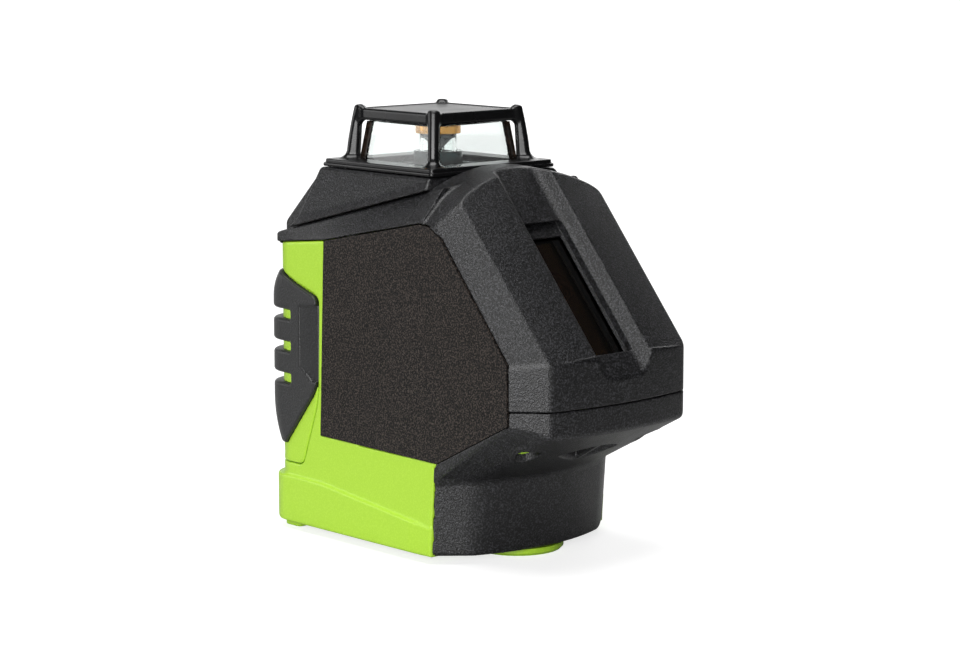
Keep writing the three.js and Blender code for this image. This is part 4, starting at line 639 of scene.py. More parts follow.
def guard_field(x, y, z):
    u, v = np.abs(x), np.abs(y - TOWER)
    out, across = (u + v) * math.sqrt(0.5), np.abs(u - v) * math.sqrt(0.5)
    foot = DECK + GAP
    lower = meet(rounded_box(u, v, GUARD_HALF + 0.5, GUARD_HALF + 0.5, 1.5), between(z, foot, foot + 1.1), 0.3)
    upper = meet(rounded_box(u, v, GUARD_HALF - 0.1, GUARD_HALF - 0.1, 1.3), between(z, foot, foot + 2.3), 0.4)
    plate = join(lower, upper, 0.2)
    height = (z - foot) / (GUARD_TOP - foot)
    outer = 28.6 - 1.4 * height - 1.6 * height ** 2 + 2 * np.clip(1 - (z - foot - 1.8) / 3.4, 0, 1) ** 2
    inner = 24.2 - 1.2 * height
    half = 1.7 + 1.6 * np.clip(1 - (z - foot - 1.2) / 3, 0, 1) ** 2
    blade = meet(between(out, inner, outer) * 0.97, across - half, 1.5)
    blade = meet(blade, between(z, foot + 0.6, GUARD_TOP - 0.1), 0.7)
    roof_half = 17.9
    roof = meet(rounded_box(u, v, roof_half, roof_half, 2.6), between(z, GUARD_TOP - 4.7, GUARD_TOP - 1), 0.9)
    dip = rounded_box(u, v, roof_half - 1.6, roof_half - 1.6, 2)
    roof = cut(roof, meet(dip, GUARD_TOP - 1.25 - z, 0), 0.3)
    hollow = meet(rounded_box(u, v, roof_half - 2.2, roof_half - 2.2, 2), z - GUARD_TOP + 2.9, 0.4)
    roof = cut(roof, hollow, 0.5)
    body = join(join(plate, blade, 1.6), roof, 1.8)
    window_half = 17.3 - (z - foot) * PANE_LEAN
    return cut(body, meet(np.maximum(u, v) - window_half - 0.1, between(z, 0, GUARD_TOP - 4.9), 0.3), 0.3)


# ---- keypad
KEY_LOW_Y = REAR - 0.4
KEY_LOW_Z = brim_top(KEY_LOW_Y) + GAP / 2 + 3.1
KEY_HIGH_Y = TOWER + GUARD_HALF + 2.4
KEY_HIGH_Z = DECK - 3.2
KEY_RUN = math.hypot(KEY_HIGH_Y - KEY_LOW_Y, KEY_HIGH_Z - KEY_LOW_Z)
KEY_UP = Vector((0, KEY_HIGH_Y - KEY_LOW_Y, KEY_HIGH_Z - KEY_LOW_Z)).normalized()
KEY_OUT = Vector((0, KEY_UP.z, -KEY_UP.y))
KEY_CENTRE = Vector((0, (KEY_LOW_Y + KEY_HIGH_Y) / 2, (KEY_LOW_Z + KEY_HIGH_Z) / 2))
KEY_PITCH = 15
KEY_RADIUS = 4.5
KEY_HALF = node_box("keypad_panel")[1][0]


def key_place(x, y, z):
    """Across, up and out of the keypad's face."""
    dy, dz = y - KEY_CENTRE.y, z - KEY_CENTRE.z
    return x, dy * KEY_UP.y + dz * KEY_UP.z, dy * KEY_OUT.y + dz * KEY_OUT.z


def keypad_field(x, y, z):
    across, up, out = key_place(x, y, z)
    wide = np.abs(x)
    body = meet(out, wide - KEY_HALF + np.clip(up + KEY_RUN / 2, 0, 20) * 0.28, 0.8)
    body = meet(body, y - KEY_LOW_Y, 0.9)
    body = meet(body, z - KEY_HIGH_Z, 0.9)
    body = meet(body, -(pyramid_walls(x, y, z) - GAP), 0)
    body = meet(body, (brim_top(y) + GAP / 2 - z) * 0.965, 0.2)
    dish = rounded_box(across, up + 0.6, 22.6, 6.0, 5.6)
    body = cut(body, meet(dish, -(out + 0.5)), 0.3)
    for i in (-1, 0, 1):
        well = meet(rod(across - i * KEY_PITCH, up, 4.8), -(out + 3))
        body = cut(body, well, 0.3)
    lamp = meet(rod(across, up - KEY_RUN / 2 + 1.9, 1.8), -(out + 1.5))
    return cut(body, lamp, 0.15)


def make_key(index):
    """A soft key with a domed, slightly dished face and a raised ring."""
    name = f"mode_button_{index}"
    low, high = node_box(name)
    centre = (low[0] + high[0]) / 2

    def field(x, y, z):
        across, up, out = key_place(x - centre, y, z)
        around = np.hypot(across, up)
        crown = 1.2 - 0.35 * (around / KEY_RADIUS) ** 2
        body = meet(rod(across, up, KEY_RADIUS), between(out, -1.8, crown), 0.5)
        ring = meet(np.abs(around - 3.1) - 0.28, between(out, 0, crown + 0.12), 0.1)
        dot = meet(around - 0.9, between(out, 0, crown + 0.15), 0.1)
        return join(body, join(ring, dot), 0.1)

    piece = moulded(f"{name}_cap", field, low - 0.5, high + 0.5, 0.22, 0.6)
    finished(piece, name, "key_grey", silicone, name)


# ---- battery door and grip
def door_field(x, y, z):
    wide = np.abs(x)
    skin = meet(plan(x, y), -plan(x, y, WALL), 0.2)
    body = meet(skin, outline(y, z, DOOR_SIDE), 0.4)
    barrel = hinge_rod(y, z, BARREL)
    heel = meet(meet(HINGE[1] - y, z - HINGE[2]), -barrel)
    body = cut(body, heel, 0)
    lug_room = meet_all(0.3, between(wide, KNUCKLE_OUT, BARREL_OUT + GAP), z - HINGE[2] - 3.2, HINGE[1] - 8 - y)
    body = cut(body, lug_room, 0.2)
    knuckle = meet(barrel, between(wide, KNUCKLE_IN, KNUCKLE_OUT), 0.3)
    body = join(body, knuckle, 0.4)
    body = cut(body, hinge_rod(y, z, PIN_BORE), 0.1)
    slot = meet(wide - 3.3, between(z, LATCH_Z - 5.3, LATCH_Z + 2.3), 0.5)
    body = cut(body, meet(slot, REAR - WALL - 1 - y), 0.2)
    return cut(body, meet(grip_outline(x, y, z) - 0.05, -plan(x, y, GRIP_POCKET)), 0.1)


def grip_slots(x, y, z):
    """The finger slots across each rear corner."""
    height = z - GRIP_MIDDLE
    nearest = np.abs(height - GRIP_PITCH * np.clip(np.round(height / GRIP_PITCH), -1, 1)) - GRIP_SLOT
    return meet(meet(nearest, REAR - 9.4 - y, 0.5), 17 - np.abs(x), 1.2)


def grip_outline(x, y, z):
    return cut(outline(y, z, GRIP_SIDE), grip_slots(x, y, z))


def grip_field(x, y, z):
    wide = np.abs(x)
    top, bottom = DOOR_TOP - 0.1, DOOR_BOTTOM + 6
    rise = np.minimum(np.clip((top - z) / 9, 0, 1), np.clip((z - bottom) / 15, 0, 1))
    stand = 0.5 + 3.5 * (1 - (1 - rise) ** 2.2)
    outer = meet(wide - HALF - 1.1, y - REAR - stand, 9)
    body = meet(outer, outline(y, z, GRIP_SIDE), 0.6)
    body = cut(body, grip_slots(x, y, z), 1.1)
    nick = meet(np.abs(z - GRIP_MIDDLE + 16.6) - 0.8, REAR + 2.6 - y, 0.5)
    body = cut(body, meet(nick, 17 - wide), 0.6)
    dish = outline(y, z, [(DOOR_FRONT - 3, DOOR_TOP - 9), (DOOR_FRONT - 3, DOOR_BOTTOM + 27),
                          (DOOR_FRONT + 2.5, DOOR_BOTTOM + 27), (DOOR_FRONT + 7.6, DOOR_BOTTOM + 31),
                          (DOOR_FRONT + 7.6, DOOR_TOP - 10.5)])
    floor = HALF + 0.9 - 1.3 * np.clip((DOOR_FRONT + 7.6 - y) / 8, 0, 1)
    body = cut(body, meet(dish, floor - wide, 0), 0.8)
    room = meet_all(1.2, wide - 7.4, LATCH_Z - 7.3 - z)
    body = cut(body, meet(room, REAR - 5 - y), 0.7)
    rib_band = meet(wide - 13, between(z, DOOR_BOTTOM + 12, LATCH_Z - 12), 2)
    ribs = 0.35 * np.cos(z * math.pi / 1.6) * np.clip(-rib_band / 1.5, 0, 1) * (y > REAR)
    body = body + np.clip(ribs, 0, 1)
    return cut(body, plan(x, y, GRIP_SEAT), 0.1)


def latch_field(x, y, z):
    wide = np.abs(x)
    face = REAR + 2.6 + 0.35 * np.cos((z - LATCH_Z) * math.pi / 1.5) * (np.abs(z - LATCH_Z) < 3)
    pad = meet(rounded_box(x, z - LATCH_Z, 7, 4, 1.4), meet(REAR + GAP - y, y - face, 0), 0.5)
    stem = meet(meet(wide - 3, np.abs(z - LATCH_Z) - 2), between(y, REAR - WALL - 0.8, REAR + 0.5))
    tongue = meet(wide - 5, between(z, LATCH_Z - 3, DOOR_TOP + 1.6), 0.4)
    tongue = meet(tongue, between(y, REAR - WALL - GAP - 1.3, REAR - WALL - GAP), 0.3)
    return join(join(pad, stem, 0.2), tongue, 0.2)


def slider_field(x, y, z):
    """The lock's outside thumb pad, its stem, the plate and bar behind the wall, and the plunger's ramp."""
    low, high = node_box("lock_slider")
    crown = 0.3 * np.cos((y - LOCK_Y) * math.pi / 1.4) * (np.abs(y - LOCK_Y) < 4.2)
    pad = meet(rounded_box(y - LOCK_Y, z - LOCK_Z, 6, 3.5, 2), between(x, HALF - 0.6, high[0] - 0.3 + crown), 0.4)
    stem = meet(meet(np.abs(y - LOCK_Y) - 2, np.abs(z - LOCK_Z) - 1.5), between(x, HALF - WALL - 1, HALF))
    bar_low = BASE + WALL + GAP + 6.8
    plate = meet(between(x, HALF - WALL - GAP - 1.8, HALF - WALL - GAP), np.abs(y - LOCK_Y) - 4)
    plate = meet(plate, between(z, bar_low, LOCK_Z + 3), 0.3)
    bar = meet(between(x, low[0], HALF - WALL - GAP - 1), np.abs(y - LOCK_Y) - 2.5)
    bar = meet(bar, between(z, bar_low, bar_low + 3), 0.3)
    ramp_top = bar_low + 4 + (y - TOWER) / 3
    ramp = meet(meet(np.abs(x) - 4, between(y, TOWER - 3.5, TOWER + 9.5)), between(z, bar_low, ramp_top), 0.3)
    return join(join(join(pad, stem, 0.2), join(plate, bar, 0.3), 0.2), ramp, 0.2)


# ---- pieces turned on a lathe
def with_outward_faces(piece, sharp=math.radians(35)):
    """Merges doubled points, turns every face outwards and marks the sharp edges."""
    work = bmesh.new()
    work.from_mesh(piece.data)
    bmesh.ops.remove_doubles(work, verts=work.verts, dist=1e-7)
    bmesh.ops.dissolve_degenerate(work, edges=work.edges, dist=1e-7)
    bmesh.ops.recalc_face_normals(work, faces=work.faces)
    for edge in work.edges:
        edge.smooth = len(edge.link_faces) != 2 or edge.calc_face_angle() < sharp
    work.to_mesh(piece.data)
    work.free()


def lathe(name, profile, centre, turns=96):
    """A closed profile of [radius, height] points spun round the upright axis, in millimetres."""
    rows = []
    for radius, height in profile:
        rows.append([
            (centre[0] + radius * math.cos(2 * math.pi * k / turns),
             centre[1] + radius * math.sin(2 * math.pi * k / turns), centre[2] + height)
            for k in range(turns)
        ])
    vertices = [v for row in rows for v in row]
    faces = []
    for i in range(len(rows)):
        j = (i + 1) % len(rows)
        for k in range(turns):
            m = (k + 1) % turns
            faces.append((i * turns + k, i * turns + m, j * turns + m, j * turns + k))
    piece = new_object(name, np.array(vertices) * MM, faces)
    with_outward_faces(piece)
    return piece


def turned_piece(name, node, profile, radii, slot_name, material):
    """A piece of the mirror stack, turned from a profile whose corners are arcs of those radii."""
    piece = lathe(name, rounded(profile, radii, 5), (0, TOWER, 0))
    finished(piece, "pendulum", slot_name, material, node)


def make_mirror_stack():
    """Everything inside the ring window: holder, tube, cone mirror and cap."""
    tube_low, tube_high = node_box("mirror_tube")
    foot, head = tube_low[2], tube_high[2]
    tube, wall = tube_high[0] - 1.3, 1.0
    bore, stop, lip = tube + 0.2, foot - GAP, DECK - 0.9
    low, high = node_box("mirror_holder")
    outer, bottom, top = high[0], low[2], high[2]
    turned_piece("mirror_holder_ring", "mirror_holder", [
        (6.3, bottom), (outer, bottom), (outer, top), (bore, top), (bore, stop), (4, stop), (4, lip), (6.3, lip),
    ], [0.2, 0.4, 0.4, 0.2, 0.1, 0.1, 0.1, 0.2], "inner_black", anodised_painted_teal_reflection)
    turned_piece("mirror_tube_glass", "mirror_tube", [
        (tube - wall, foot), (tube, foot), (tube, head), (tube - wall, head),
    ], 0.15, "clear_pane", clear_polycarbonate)
    low, high = node_box("cone_mirror")
    r, bottom, top = high[0], low[2], high[2]
    turned_piece("cone_mirror_face", "cone_mirror", [
        (0.001, bottom), (0.12, bottom + 0.02), (r - 0.08, top - 0.42), (r, top - 0.3), (r, top - 0.1),
        (r - 0.1, top), (0.001, top),
    ], 0, "mirror", silvered_mirror)
    low, high = node_box("mirror_cap")
    r, bottom, top = high[0], low[2], high[2]
    turned_piece("mirror_cap_disc", "mirror_cap", [
        (0.001, bottom), (r, bottom), (r, top - 2.2), (r - 0.25, top - 2.05), (r - 0.25, top - 1.7),
        (r, top - 1.55), (r, top), (0.001, top),
    ], [0, 0.15, 0.05, 0.05, 0.05, 0.05, 0.6, 0], "brass", brass)


# ---- finishes
def linear(code):
    """An sRGB hex colour as linear light."""
    parts = [int(code[i:i + 2], 16) / 255 for i in (1, 3, 5)]
    return [p / 12.92 if p <= 0.04045 else ((p + 0.055) / 1.055) ** 2.4 for p in parts] + [1]


def add(tree, kind, settings, links=None):
    """One node with its settings, and with its inputs linked to other nodes' outputs."""
    node = tree.nodes.new(kind)
    for key, value in settings.items():
        if isinstance(key, str) and hasattr(node, key):
            setattr(node, key, value)
        else:
            node.inputs[key].default_value = value
    for key, socket in (links or {}).items():
        tree.links.new(socket, node.inputs[key])
    return node


def per_mm(size):
    """The pattern scale that makes one feature that many millimetres across."""
    return 1 / (size * MM)


def new_material(name, shader):
    """A material with its principled shader. The shader's constants are set on its own sockets."""
    material = bpy.data.materials.new(name)
    material.use_nodes = True
    tree = material.node_tree
    tree.nodes.clear()
    body = add(tree, "ShaderNodeBsdfPrincipled", shader)
    add(tree, "ShaderNodeOutputMaterial", {}, {"Surface": body.outputs["BSDF"]})
    place = add(tree, "ShaderNodeTexCoord", {}).outputs["Object"]
    return material, tree, body, place


def grained(name, shader, colours, grain, bump, rough, cloud=14.0, spread=0.2):
    """A moulded or cast finish: fine grain in colour and relief, and slow clouds in its roughness.

    colours is (base, light), grain is the grain's width and bump its depth, both in millimetres, and
    rough is (least, most). The lower spread is, the harder the grain's two colours part. On the black
    spark-eroded ABS and the panel film the light colour is a painted glint; on the other finishes it is the grain's
    own tone.
    """
    material, tree, body, place = new_material(name, shader)
    fine = add(tree, "ShaderNodeTexNoise", {"Scale": per_mm(grain), "Detail": 2.0, "Roughness": 0.6},
               {"Vector": place})
    slow = add(tree, "ShaderNodeTexNoise", {"Scale": per_mm(cloud), "Detail": 3.0, "Roughness": 0.5},
               {"Vector": place})
    share = add(tree, "ShaderNodeMapRange", {"From Min": 0.56 - spread / 2, "From Max": 0.56 + spread / 2},
                {"Value": fine.outputs["Fac"]})
    tone = add(tree, "ShaderNodeMix", {"data_type": "RGBA", 6: linear(colours[0]), 7: linear(colours[1])},
               {0: share.outputs["Result"]})
    gloss = add(tree, "ShaderNodeMapRange", {
        "From Min": 0.3, "From Max": 0.7, "To Min": rough[0], "To Max": rough[1],
    }, {"Value": slow.outputs["Fac"]})
    relief = add(tree, "ShaderNodeBump", {"Strength": 1.0, "Distance": bump * MM}, {"Height": fine.outputs["Fac"]})
    tree.links.new(tone.outputs[2], body.inputs["Base Color"])
    tree.links.new(gloss.outputs["Result"], body.inputs["Roughness"])
    tree.links.new(relief.outputs["Normal"], body.inputs["Normal"])
    return material


# Lime ABS, injection moulded in a fine satin tool: a clean bright skin with a soft highlight.
lime_abs = grained("lime_abs_satin", {"IOR": 1.54, "Specular IOR Level": 0.5}, ("#A9D632", "#B3DD3E"),
                   grain=0.5, bump=0.006, rough=(0.34, 0.42))
# Black ABS from a spark-eroded tool: a coarse even grain in relief. Its light flecks are painted glints, lighter
# base colour where the grain's peaks catch the light.
textured_abs_painted_glints = grained("black_abs_spark_eroded_painted_glints", {"IOR": 1.54, "Specular IOR Level": 0.5}, ("#020202", "#38383B"),
                       grain=0.5, bump=0.18, rough=(0.36, 0.44), spread=0.16)
# The same ABS from a polished tool: deep black with sharp reflections, as on the guard.
gloss_abs = grained("black_abs_polished", {"IOR": 1.54, "Specular IOR Level": 0.35, "Coat Weight": 0.12,
                                           "Coat Roughness": 0.1},
                    ("#0A0A0B", "#0E0E10"), grain=1.4, bump=0.006, rough=(0.24, 0.34))
# Printed polyester film, hard-coated: matt brown-black with a textured face. Its fine glitter is painted, light
# flecks in the base colour standing in for glints off that face.
panel_film_painted_glitter = grained("polyester_film_matt_painted_glitter", {"IOR": 1.57, "Specular IOR Level": 0.2}, ("#080605", "#463E39"),
                     grain=0.5, bump=0.09, rough=(0.44, 0.54), spread=0.18)
# TPE rubber, moulded over the door: dull, soft-edged, a trace of bloom in its highlights.
grip_rubber = grained("tpe_rubber_moulded", {"IOR": 1.5, "Specular IOR Level": 0.7, "Sheen Weight": 0.05,
                                             "Sheen Roughness": 0.5}, ("#0B0B0C", "#1E1F21"),
                      grain=0.6, bump=0.12, rough=(0.4, 0.5))
# Silicone keys, moulded in grey: matt, slightly waxy and even.
silicone = grained("silicone_grey_keys", {"IOR": 1.42, "Subsurface Weight": 0.05, "Subsurface Scale": 0.002},
                   ("#56585B", "#606265"), grain=0.5, bump=0.008, rough=(0.6, 0.7))
# Glass-filled nylon for the hidden frames: black with a streaky, slightly silky skin.
filled_nylon = grained("black_nylon_glass_filled", {"IOR": 1.53}, ("#18181A", "#232326"),
                       grain=0.9, bump=0.02, rough=(0.5, 0.66))
# Die-cast zinc alloy: a dull grey skin with fine pitting from the die.
cast_alloy = grained("zinc_alloy_die_cast", {"Metallic": 1.0}, ("#7B7E82", "#94979B"),
                     grain=0.8, bump=0.02, rough=(0.42, 0.56))
# Shrink film round each cell: a glossy printed skin over the steel can.
cell_film = grained("pvc_cell_film", {"IOR": 1.53, "Coat Weight": 0.4, "Coat Roughness": 0.12},
                    ("#34373C", "#3C4046"), grain=3.0, bump=0.006, rough=(0.26, 0.36))
# Glass-epoxy board under green resist: a woven relief under a smooth lacquer.
board_laminate = grained("glass_epoxy_board", {"IOR": 1.55, "Coat Weight": 0.3}, ("#1A5434", "#24683F"),
                         grain=0.9, bump=0.012, rough=(0.32, 0.46))
# Frosted acrylic lamp: milky, with light scattered just under its skin.
lamp_acrylic = grained("acrylic_lamp_frosted", {"IOR": 1.49, "Subsurface Weight": 0.4, "Subsurface Scale": 0.002},
                       ("#D6DEDA", "#E6ECE8"), grain=0.8, bump=0.004, rough=(0.24, 0.34))


def machined(name, colours, mark, rough):
    """A turned metal: fine tool marks that run round the upright axis, with a trace of handling."""
    material, tree, body, place = new_material(name, {"Metallic": 1.0})
    marks = add(tree, "ShaderNodeTexWave", {"wave_type": "BANDS", "bands_direction": "Z", "Scale": per_mm(mark) / 20,
                                            "Distortion": 0.6, "Detail": 1.0}, {"Vector": place})
    haze = add(tree, "ShaderNodeTexNoise", {"Scale": per_mm(4.0), "Detail": 3.0}, {"Vector": place})
    tone = add(tree, "ShaderNodeMix", {"data_type": "RGBA", 6: linear(colours[0]), 7: linear(colours[1])},
               {0: haze.outputs["Fac"]})
    gloss = add(tree, "ShaderNodeMapRange", {"To Min": rough[0], "To Max": rough[1]}, {"Value": haze.outputs["Fac"]})
    relief = add(tree, "ShaderNodeBump", {"Strength": 0.3, "Distance": 0.008 * MM}, {"Height": marks.outputs["Fac"]})
    tree.links.new(tone.outputs[2], body.inputs["Base Color"])
    tree.links.new(gloss.outputs["Result"], body.inputs["Roughness"])
    tree.links.new(relief.outputs["Normal"], body.inputs["Normal"])
    return material


# Free-cutting brass, turned and left bare: warm, with fine rings and slightly uneven tarnish.
brass = machined("brass_turned", ("#B98238", "#D9A352"), 0.25, (0.2, 0.36))
# Zinc-plated steel: cool and bright with a faint haze.
plated_steel = machined("steel_zinc_plated", ("#8D9298", "#B4B9BE"), 0.3, (0.24, 0.38))
# Copper plate, punched and bare: pink-brown with darker finger marks.
bare_copper = machined("copper_bare", ("#A65E3C", "#C67B55"), 0.4, (0.28, 0.44))
# Silvered glass: a mirror with only a trace of haze.
silvered_mirror = machined("silvered_mirror", ("#D5DADC", "#EEF1F2"), 0.5, (0.03, 0.07))


def clear_plastic(name, tint, shader, rough):
    """A clear or smoked moulding with a trace of flow in its polish."""
    material, tree, body, place = new_material(name, {"Transmission Weight": 1.0, **shader})
    flow = add(tree, "ShaderNodeTexNoise", {"Scale": per_mm(9.0), "Detail": 2.0}, {"Vector": place})
    tone = add(tree, "ShaderNodeMix", {"data_type": "RGBA", 6: linear(tint[0]), 7: linear(tint[1])},
               {0: flow.outputs["Fac"]})
    gloss = add(tree, "ShaderNodeMapRange", {"To Min": rough[0], "To Max": rough[1]}, {"Value": flow.outputs["Fac"]})
    tree.links.new(tone.outputs[2], body.inputs["Base Color"])
    tree.links.new(gloss.outputs["Result"], body.inputs["Roughness"])
    return material


# Optical polycarbonate for the ring window: almost colourless, with a bright polished face.
clear_polycarbonate = clear_plastic("polycarbonate_clear", ("#F4F8F7", "#FBFDFC"), {"IOR": 1.49}, (0.01, 0.03))
# Tinted acrylic for the nose window: a dark sheet that shows a little of the lens behind it. Its brown tint is a
# painted reflection, standing in for brownish reflections on the dark glass.
smoked_acrylic_painted_brown_reflection = clear_plastic("acrylic_smoked_painted_brown_reflection", ("#4A3628", "#543F30"), {"IOR": 1.49, "Specular IOR Level": 0.3},
                               (0.02, 0.05))
# Anodised cup round the upper lens: near-black, with a painted reflection. A cold teal cast in its metal colour
# stands in for the teal glint on its polished lip.
anodised_painted_teal_reflection = grained("aluminium_anodised_black_painted_teal_reflection", {"Metallic": 1.0}, ("#16201F", "#26393A"),
                        grain=1.0, bump=0.004, rough=(0.14, 0.26))
# Black-brown adhesive that joins the panes: glossy, a little uneven in thickness.
pane_glue = grained("adhesive_brown_black", {"IOR": 1.5, "Coat Weight": 0.6, "Coat Roughness": 0.08},
                    ("#17110D", "#3A2C23"), grain=1.6, bump=0.05, rough=(0.12, 0.3))


def finished(piece, body, slot_name, material, *replaced):
    """Gives a piece its material, its body and the CAD nodes that it stands for."""
    piece.data.materials.clear()
    piece.data.materials.append(material)
    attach(piece, body)
    if replaced:
        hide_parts(*replaced)


# ---- geometry nodes
def node_tree(name, sizes):
    """A Geometry Nodes tree with named inputs for its sizes and its material."""
    tree = bpy.data.node_groups.new(name, "GeometryNodeTree")
    tree.interface.new_socket("Geometry", in_out="INPUT", socket_type="NodeSocketGeometry")
    tree.interface.new_socket("Geometry", in_out="OUTPUT", socket_type="NodeSocketGeometry")
    for label, default in sizes.items():
        kind = "NodeSocketInt" if isinstance(default, int) else "NodeSocketFloat"
        tree.interface.new_socket(label, in_out="INPUT", socket_type=kind).default_value = default
    tree.interface.new_socket("Material", in_out="INPUT", socket_type="NodeSocketMaterial")
    given = add(tree, "NodeGroupInput", {}).outputs
    return tree, given


def close_tree(tree, given, thing, points=None):
    """Puts the thing on every point, and ends the tree in realised instances with their material set."""
    placed = add(tree, "GeometryNodeInstanceOnPoints", {}, {
        "Points": given["Geometry"] if points is None else points, "Instance": thing,
    })
    real = add(tree, "GeometryNodeRealizeInstances", {}, {"Geometry": placed.outputs["Instances"]})
    painted = add(tree, "GeometryNodeSetMaterial", {}, {
        "Geometry": real.outputs["Geometry"], "Material": given["Material"],
    })
    add(tree, "NodeGroupOutput", {}, {"Geometry": painted.outputs["Geometry"]})
    return tree


def points_mesh(name, places):
    """A loose point for each place, for a tree to put something on."""
    mesh = bpy.data.meshes.new(name)
    mesh.from_pydata([tuple(np.array(p) * MM) for p in places], [], [])
    return in_scene(name, mesh)


def grown_from(piece, tree, material, **sizes):
    """Runs a tree on a piece and leaves its result as a plain mesh."""
    step = piece.modifiers.new("grow", "NODES")
    step.node_group = tree
    sockets = {item.name: item.identifier for item in tree.interface.items_tree if item.in_out == "INPUT"}
    for label, value in sizes.items():
        step[sockets[label.replace("_", " ").capitalize()]] = value
    step[sockets["Material"]] = material
    return flattened(piece)


def screw_tree():
    """A pan-head screw on each point, head down, with a cross recess and a rolled thread."""
    tree, given = node_tree("screws", {
        "Head radius": 2.7 * MM, "Head height": 1.4 * MM, "Shank radius": 1.25 * MM, "Length": 12 * MM,
        "Pitch": 0.9 * MM,
    })
    head = add(tree, "GeometryNodeMeshCone", {"Vertices": 40, "Side Segments": 3}, {
        "Radius Bottom": given["Head radius"], "Depth": given["Head height"],
    })
    slim = add(tree, "ShaderNodeMath", {"operation": "MULTIPLY", 1: 0.94}, {0: given["Head radius"]})
    tree.links.new(slim.outputs[0], head.inputs["Radius Top"])
    bar = [add(tree, "ShaderNodeMath", {"operation": "MULTIPLY", 1: share}, {0: given["Head radius"]}).outputs[0]
           for share in (1.15, 0.24, 0.9)]
    recess = []
    for order in ((0, 1, 2), (1, 0, 2)):
        size = add(tree, "ShaderNodeCombineXYZ", {}, {i: bar[k] for i, k in enumerate(order)})
        recess.append(add(tree, "GeometryNodeMeshCube", {}, {"Size": size.outputs[0]}))
    driven = add(tree, "GeometryNodeMeshBoolean", {"operation": "DIFFERENCE", "solver": "EXACT"}, {
        "Mesh 1": head.outputs["Mesh"],
    })
    for cube in recess:
        tree.links.new(cube.outputs["Mesh"], driven.inputs["Mesh 2"])
    shank = add(tree, "GeometryNodeMeshCylinder", {"Vertices": 24}, {
        "Radius": given["Shank radius"], "Depth": given["Length"],
    })
    half = add(tree, "ShaderNodeMath", {"operation": "MULTIPLY", 1: 0.5}, {0: given["Length"]})
    up = add(tree, "ShaderNodeCombineXYZ", {}, {"Z": half.outputs[0]})
    raised = add(tree, "GeometryNodeTransform", {}, {
        "Geometry": shank.outputs["Mesh"], "Translation": up.outputs[0],
    })
    free = add(tree, "ShaderNodeMath", {"operation": "SUBTRACT"}, {0: given["Length"], 1: given["Head height"]})
    turns = add(tree, "ShaderNodeMath", {"operation": "DIVIDE"}, {0: free.outputs[0], 1: given["Pitch"]})
    helix = add(tree, "GeometryNodeCurveSpiral", {"Resolution": 16}, {
        "Rotations": turns.outputs[0], "Start Radius": given["Shank radius"], "End Radius": given["Shank radius"],
        "Height": free.outputs[0],
    })
    edge = add(tree, "GeometryNodeCurvePrimitiveCircle", {"Resolution": 4, "Radius": 0.22 * MM})
    thread = add(tree, "GeometryNodeCurveToMesh", {"Fill Caps": True}, {
        "Curve": helix.outputs["Curve"], "Profile Curve": edge.outputs["Curve"],
    })
    lift = add(tree, "ShaderNodeCombineXYZ", {}, {"Z": given["Head height"]})
    wound = add(tree, "GeometryNodeTransform", {}, {
        "Geometry": thread.outputs["Mesh"], "Translation": lift.outputs[0],
    })
    screw = add(tree, "GeometryNodeJoinGeometry", {})
    for part in (driven.outputs["Mesh"], raised.outputs["Geometry"], wound.outputs["Geometry"]):
        tree.links.new(part, screw.inputs["Geometry"])
    return close_tree(tree, given, screw.outputs["Geometry"])


def make_screws():
    tree = screw_tree()
    for kind, head in (("case", (2.5, 1.1)), ("nose", (2.7, 2.3))):
        for side in ("left", "right"):
            low, high = node_box(f"{kind}_screw_{side}")
            centre = (low + high) / 2
            piece = points_mesh(f"{kind}_screw_{side}_threaded", [(centre[0], centre[1], low[2])])
            piece = grown_from(piece, tree, plated_steel, head_radius=head[0] * MM, head_height=head[1] * MM,
                               length=(high[2] - low[2] - 0.2) * MM)
            finished(piece, "case", "steel", plated_steel, f"{kind}_screw_{side}")


def spring_tree():
    """A conical spring on each point, wound upwards from a wide foot to a narrow tip."""
    tree, given = node_tree("cell_springs", {
        "Foot radius": 3.6 * MM, "Tip radius": 1.9 * MM, "Height": 3.0 * MM, "Wire": 0.35 * MM, "Turns": 4,
    })
    coil = add(tree, "GeometryNodeCurveSpiral", {"Resolution": 28}, {
        "Rotations": given["Turns"], "Start Radius": given["Foot radius"], "End Radius": given["Tip radius"],
        "Height": given["Height"],
    })
    wire = add(tree, "GeometryNodeCurvePrimitiveCircle", {"Resolution": 8}, {"Radius": given["Wire"]})
    wound = add(tree, "GeometryNodeCurveToMesh", {"Fill Caps": True}, {
        "Curve": coil.outputs["Curve"], "Profile Curve": wire.outputs["Curve"],
    })
    return close_tree(tree, given, wound.outputs["Mesh"])


def make_contacts():
    """The plates under the cells, with their springs. The plates over the cells stay as they are."""
    tree = spring_tree()
    for label, cells in (("left", [1]), ("middle", [2, 3]), ("right", [4])):
        name = f"lower_contact_{label}"
        low, high = node_box(name)
        plate_top = low[2] + 0.5
        centres = [node_centre(f"battery_cell_{k}") for k in cells]
        places = [(c[0], c[1], plate_top + 0.3) for c in centres]
        springs = points_mesh(f"{name}_springs", places)
        springs = grown_from(springs, tree, plated_steel, height=(high[2] - plate_top - 0.75) * MM)

        def field(x, y, z):
            area = rounded_box(x - (low[0] + high[0]) / 2, y - (low[1] + high[1]) / 2,
                               (high[0] - low[0]) / 2, (high[1] - low[1]) / 2, 1)
            return meet(area, between(z, low[2], plate_top), 0.1)

        plate = moulded(f"{name}_plate", field, low, np.array([high[0], high[1], plate_top]), 0.25, 0.15)
        finished(plate, "case", "steel", plated_steel)
        finished(springs, "case", "steel", plated_steel, name)


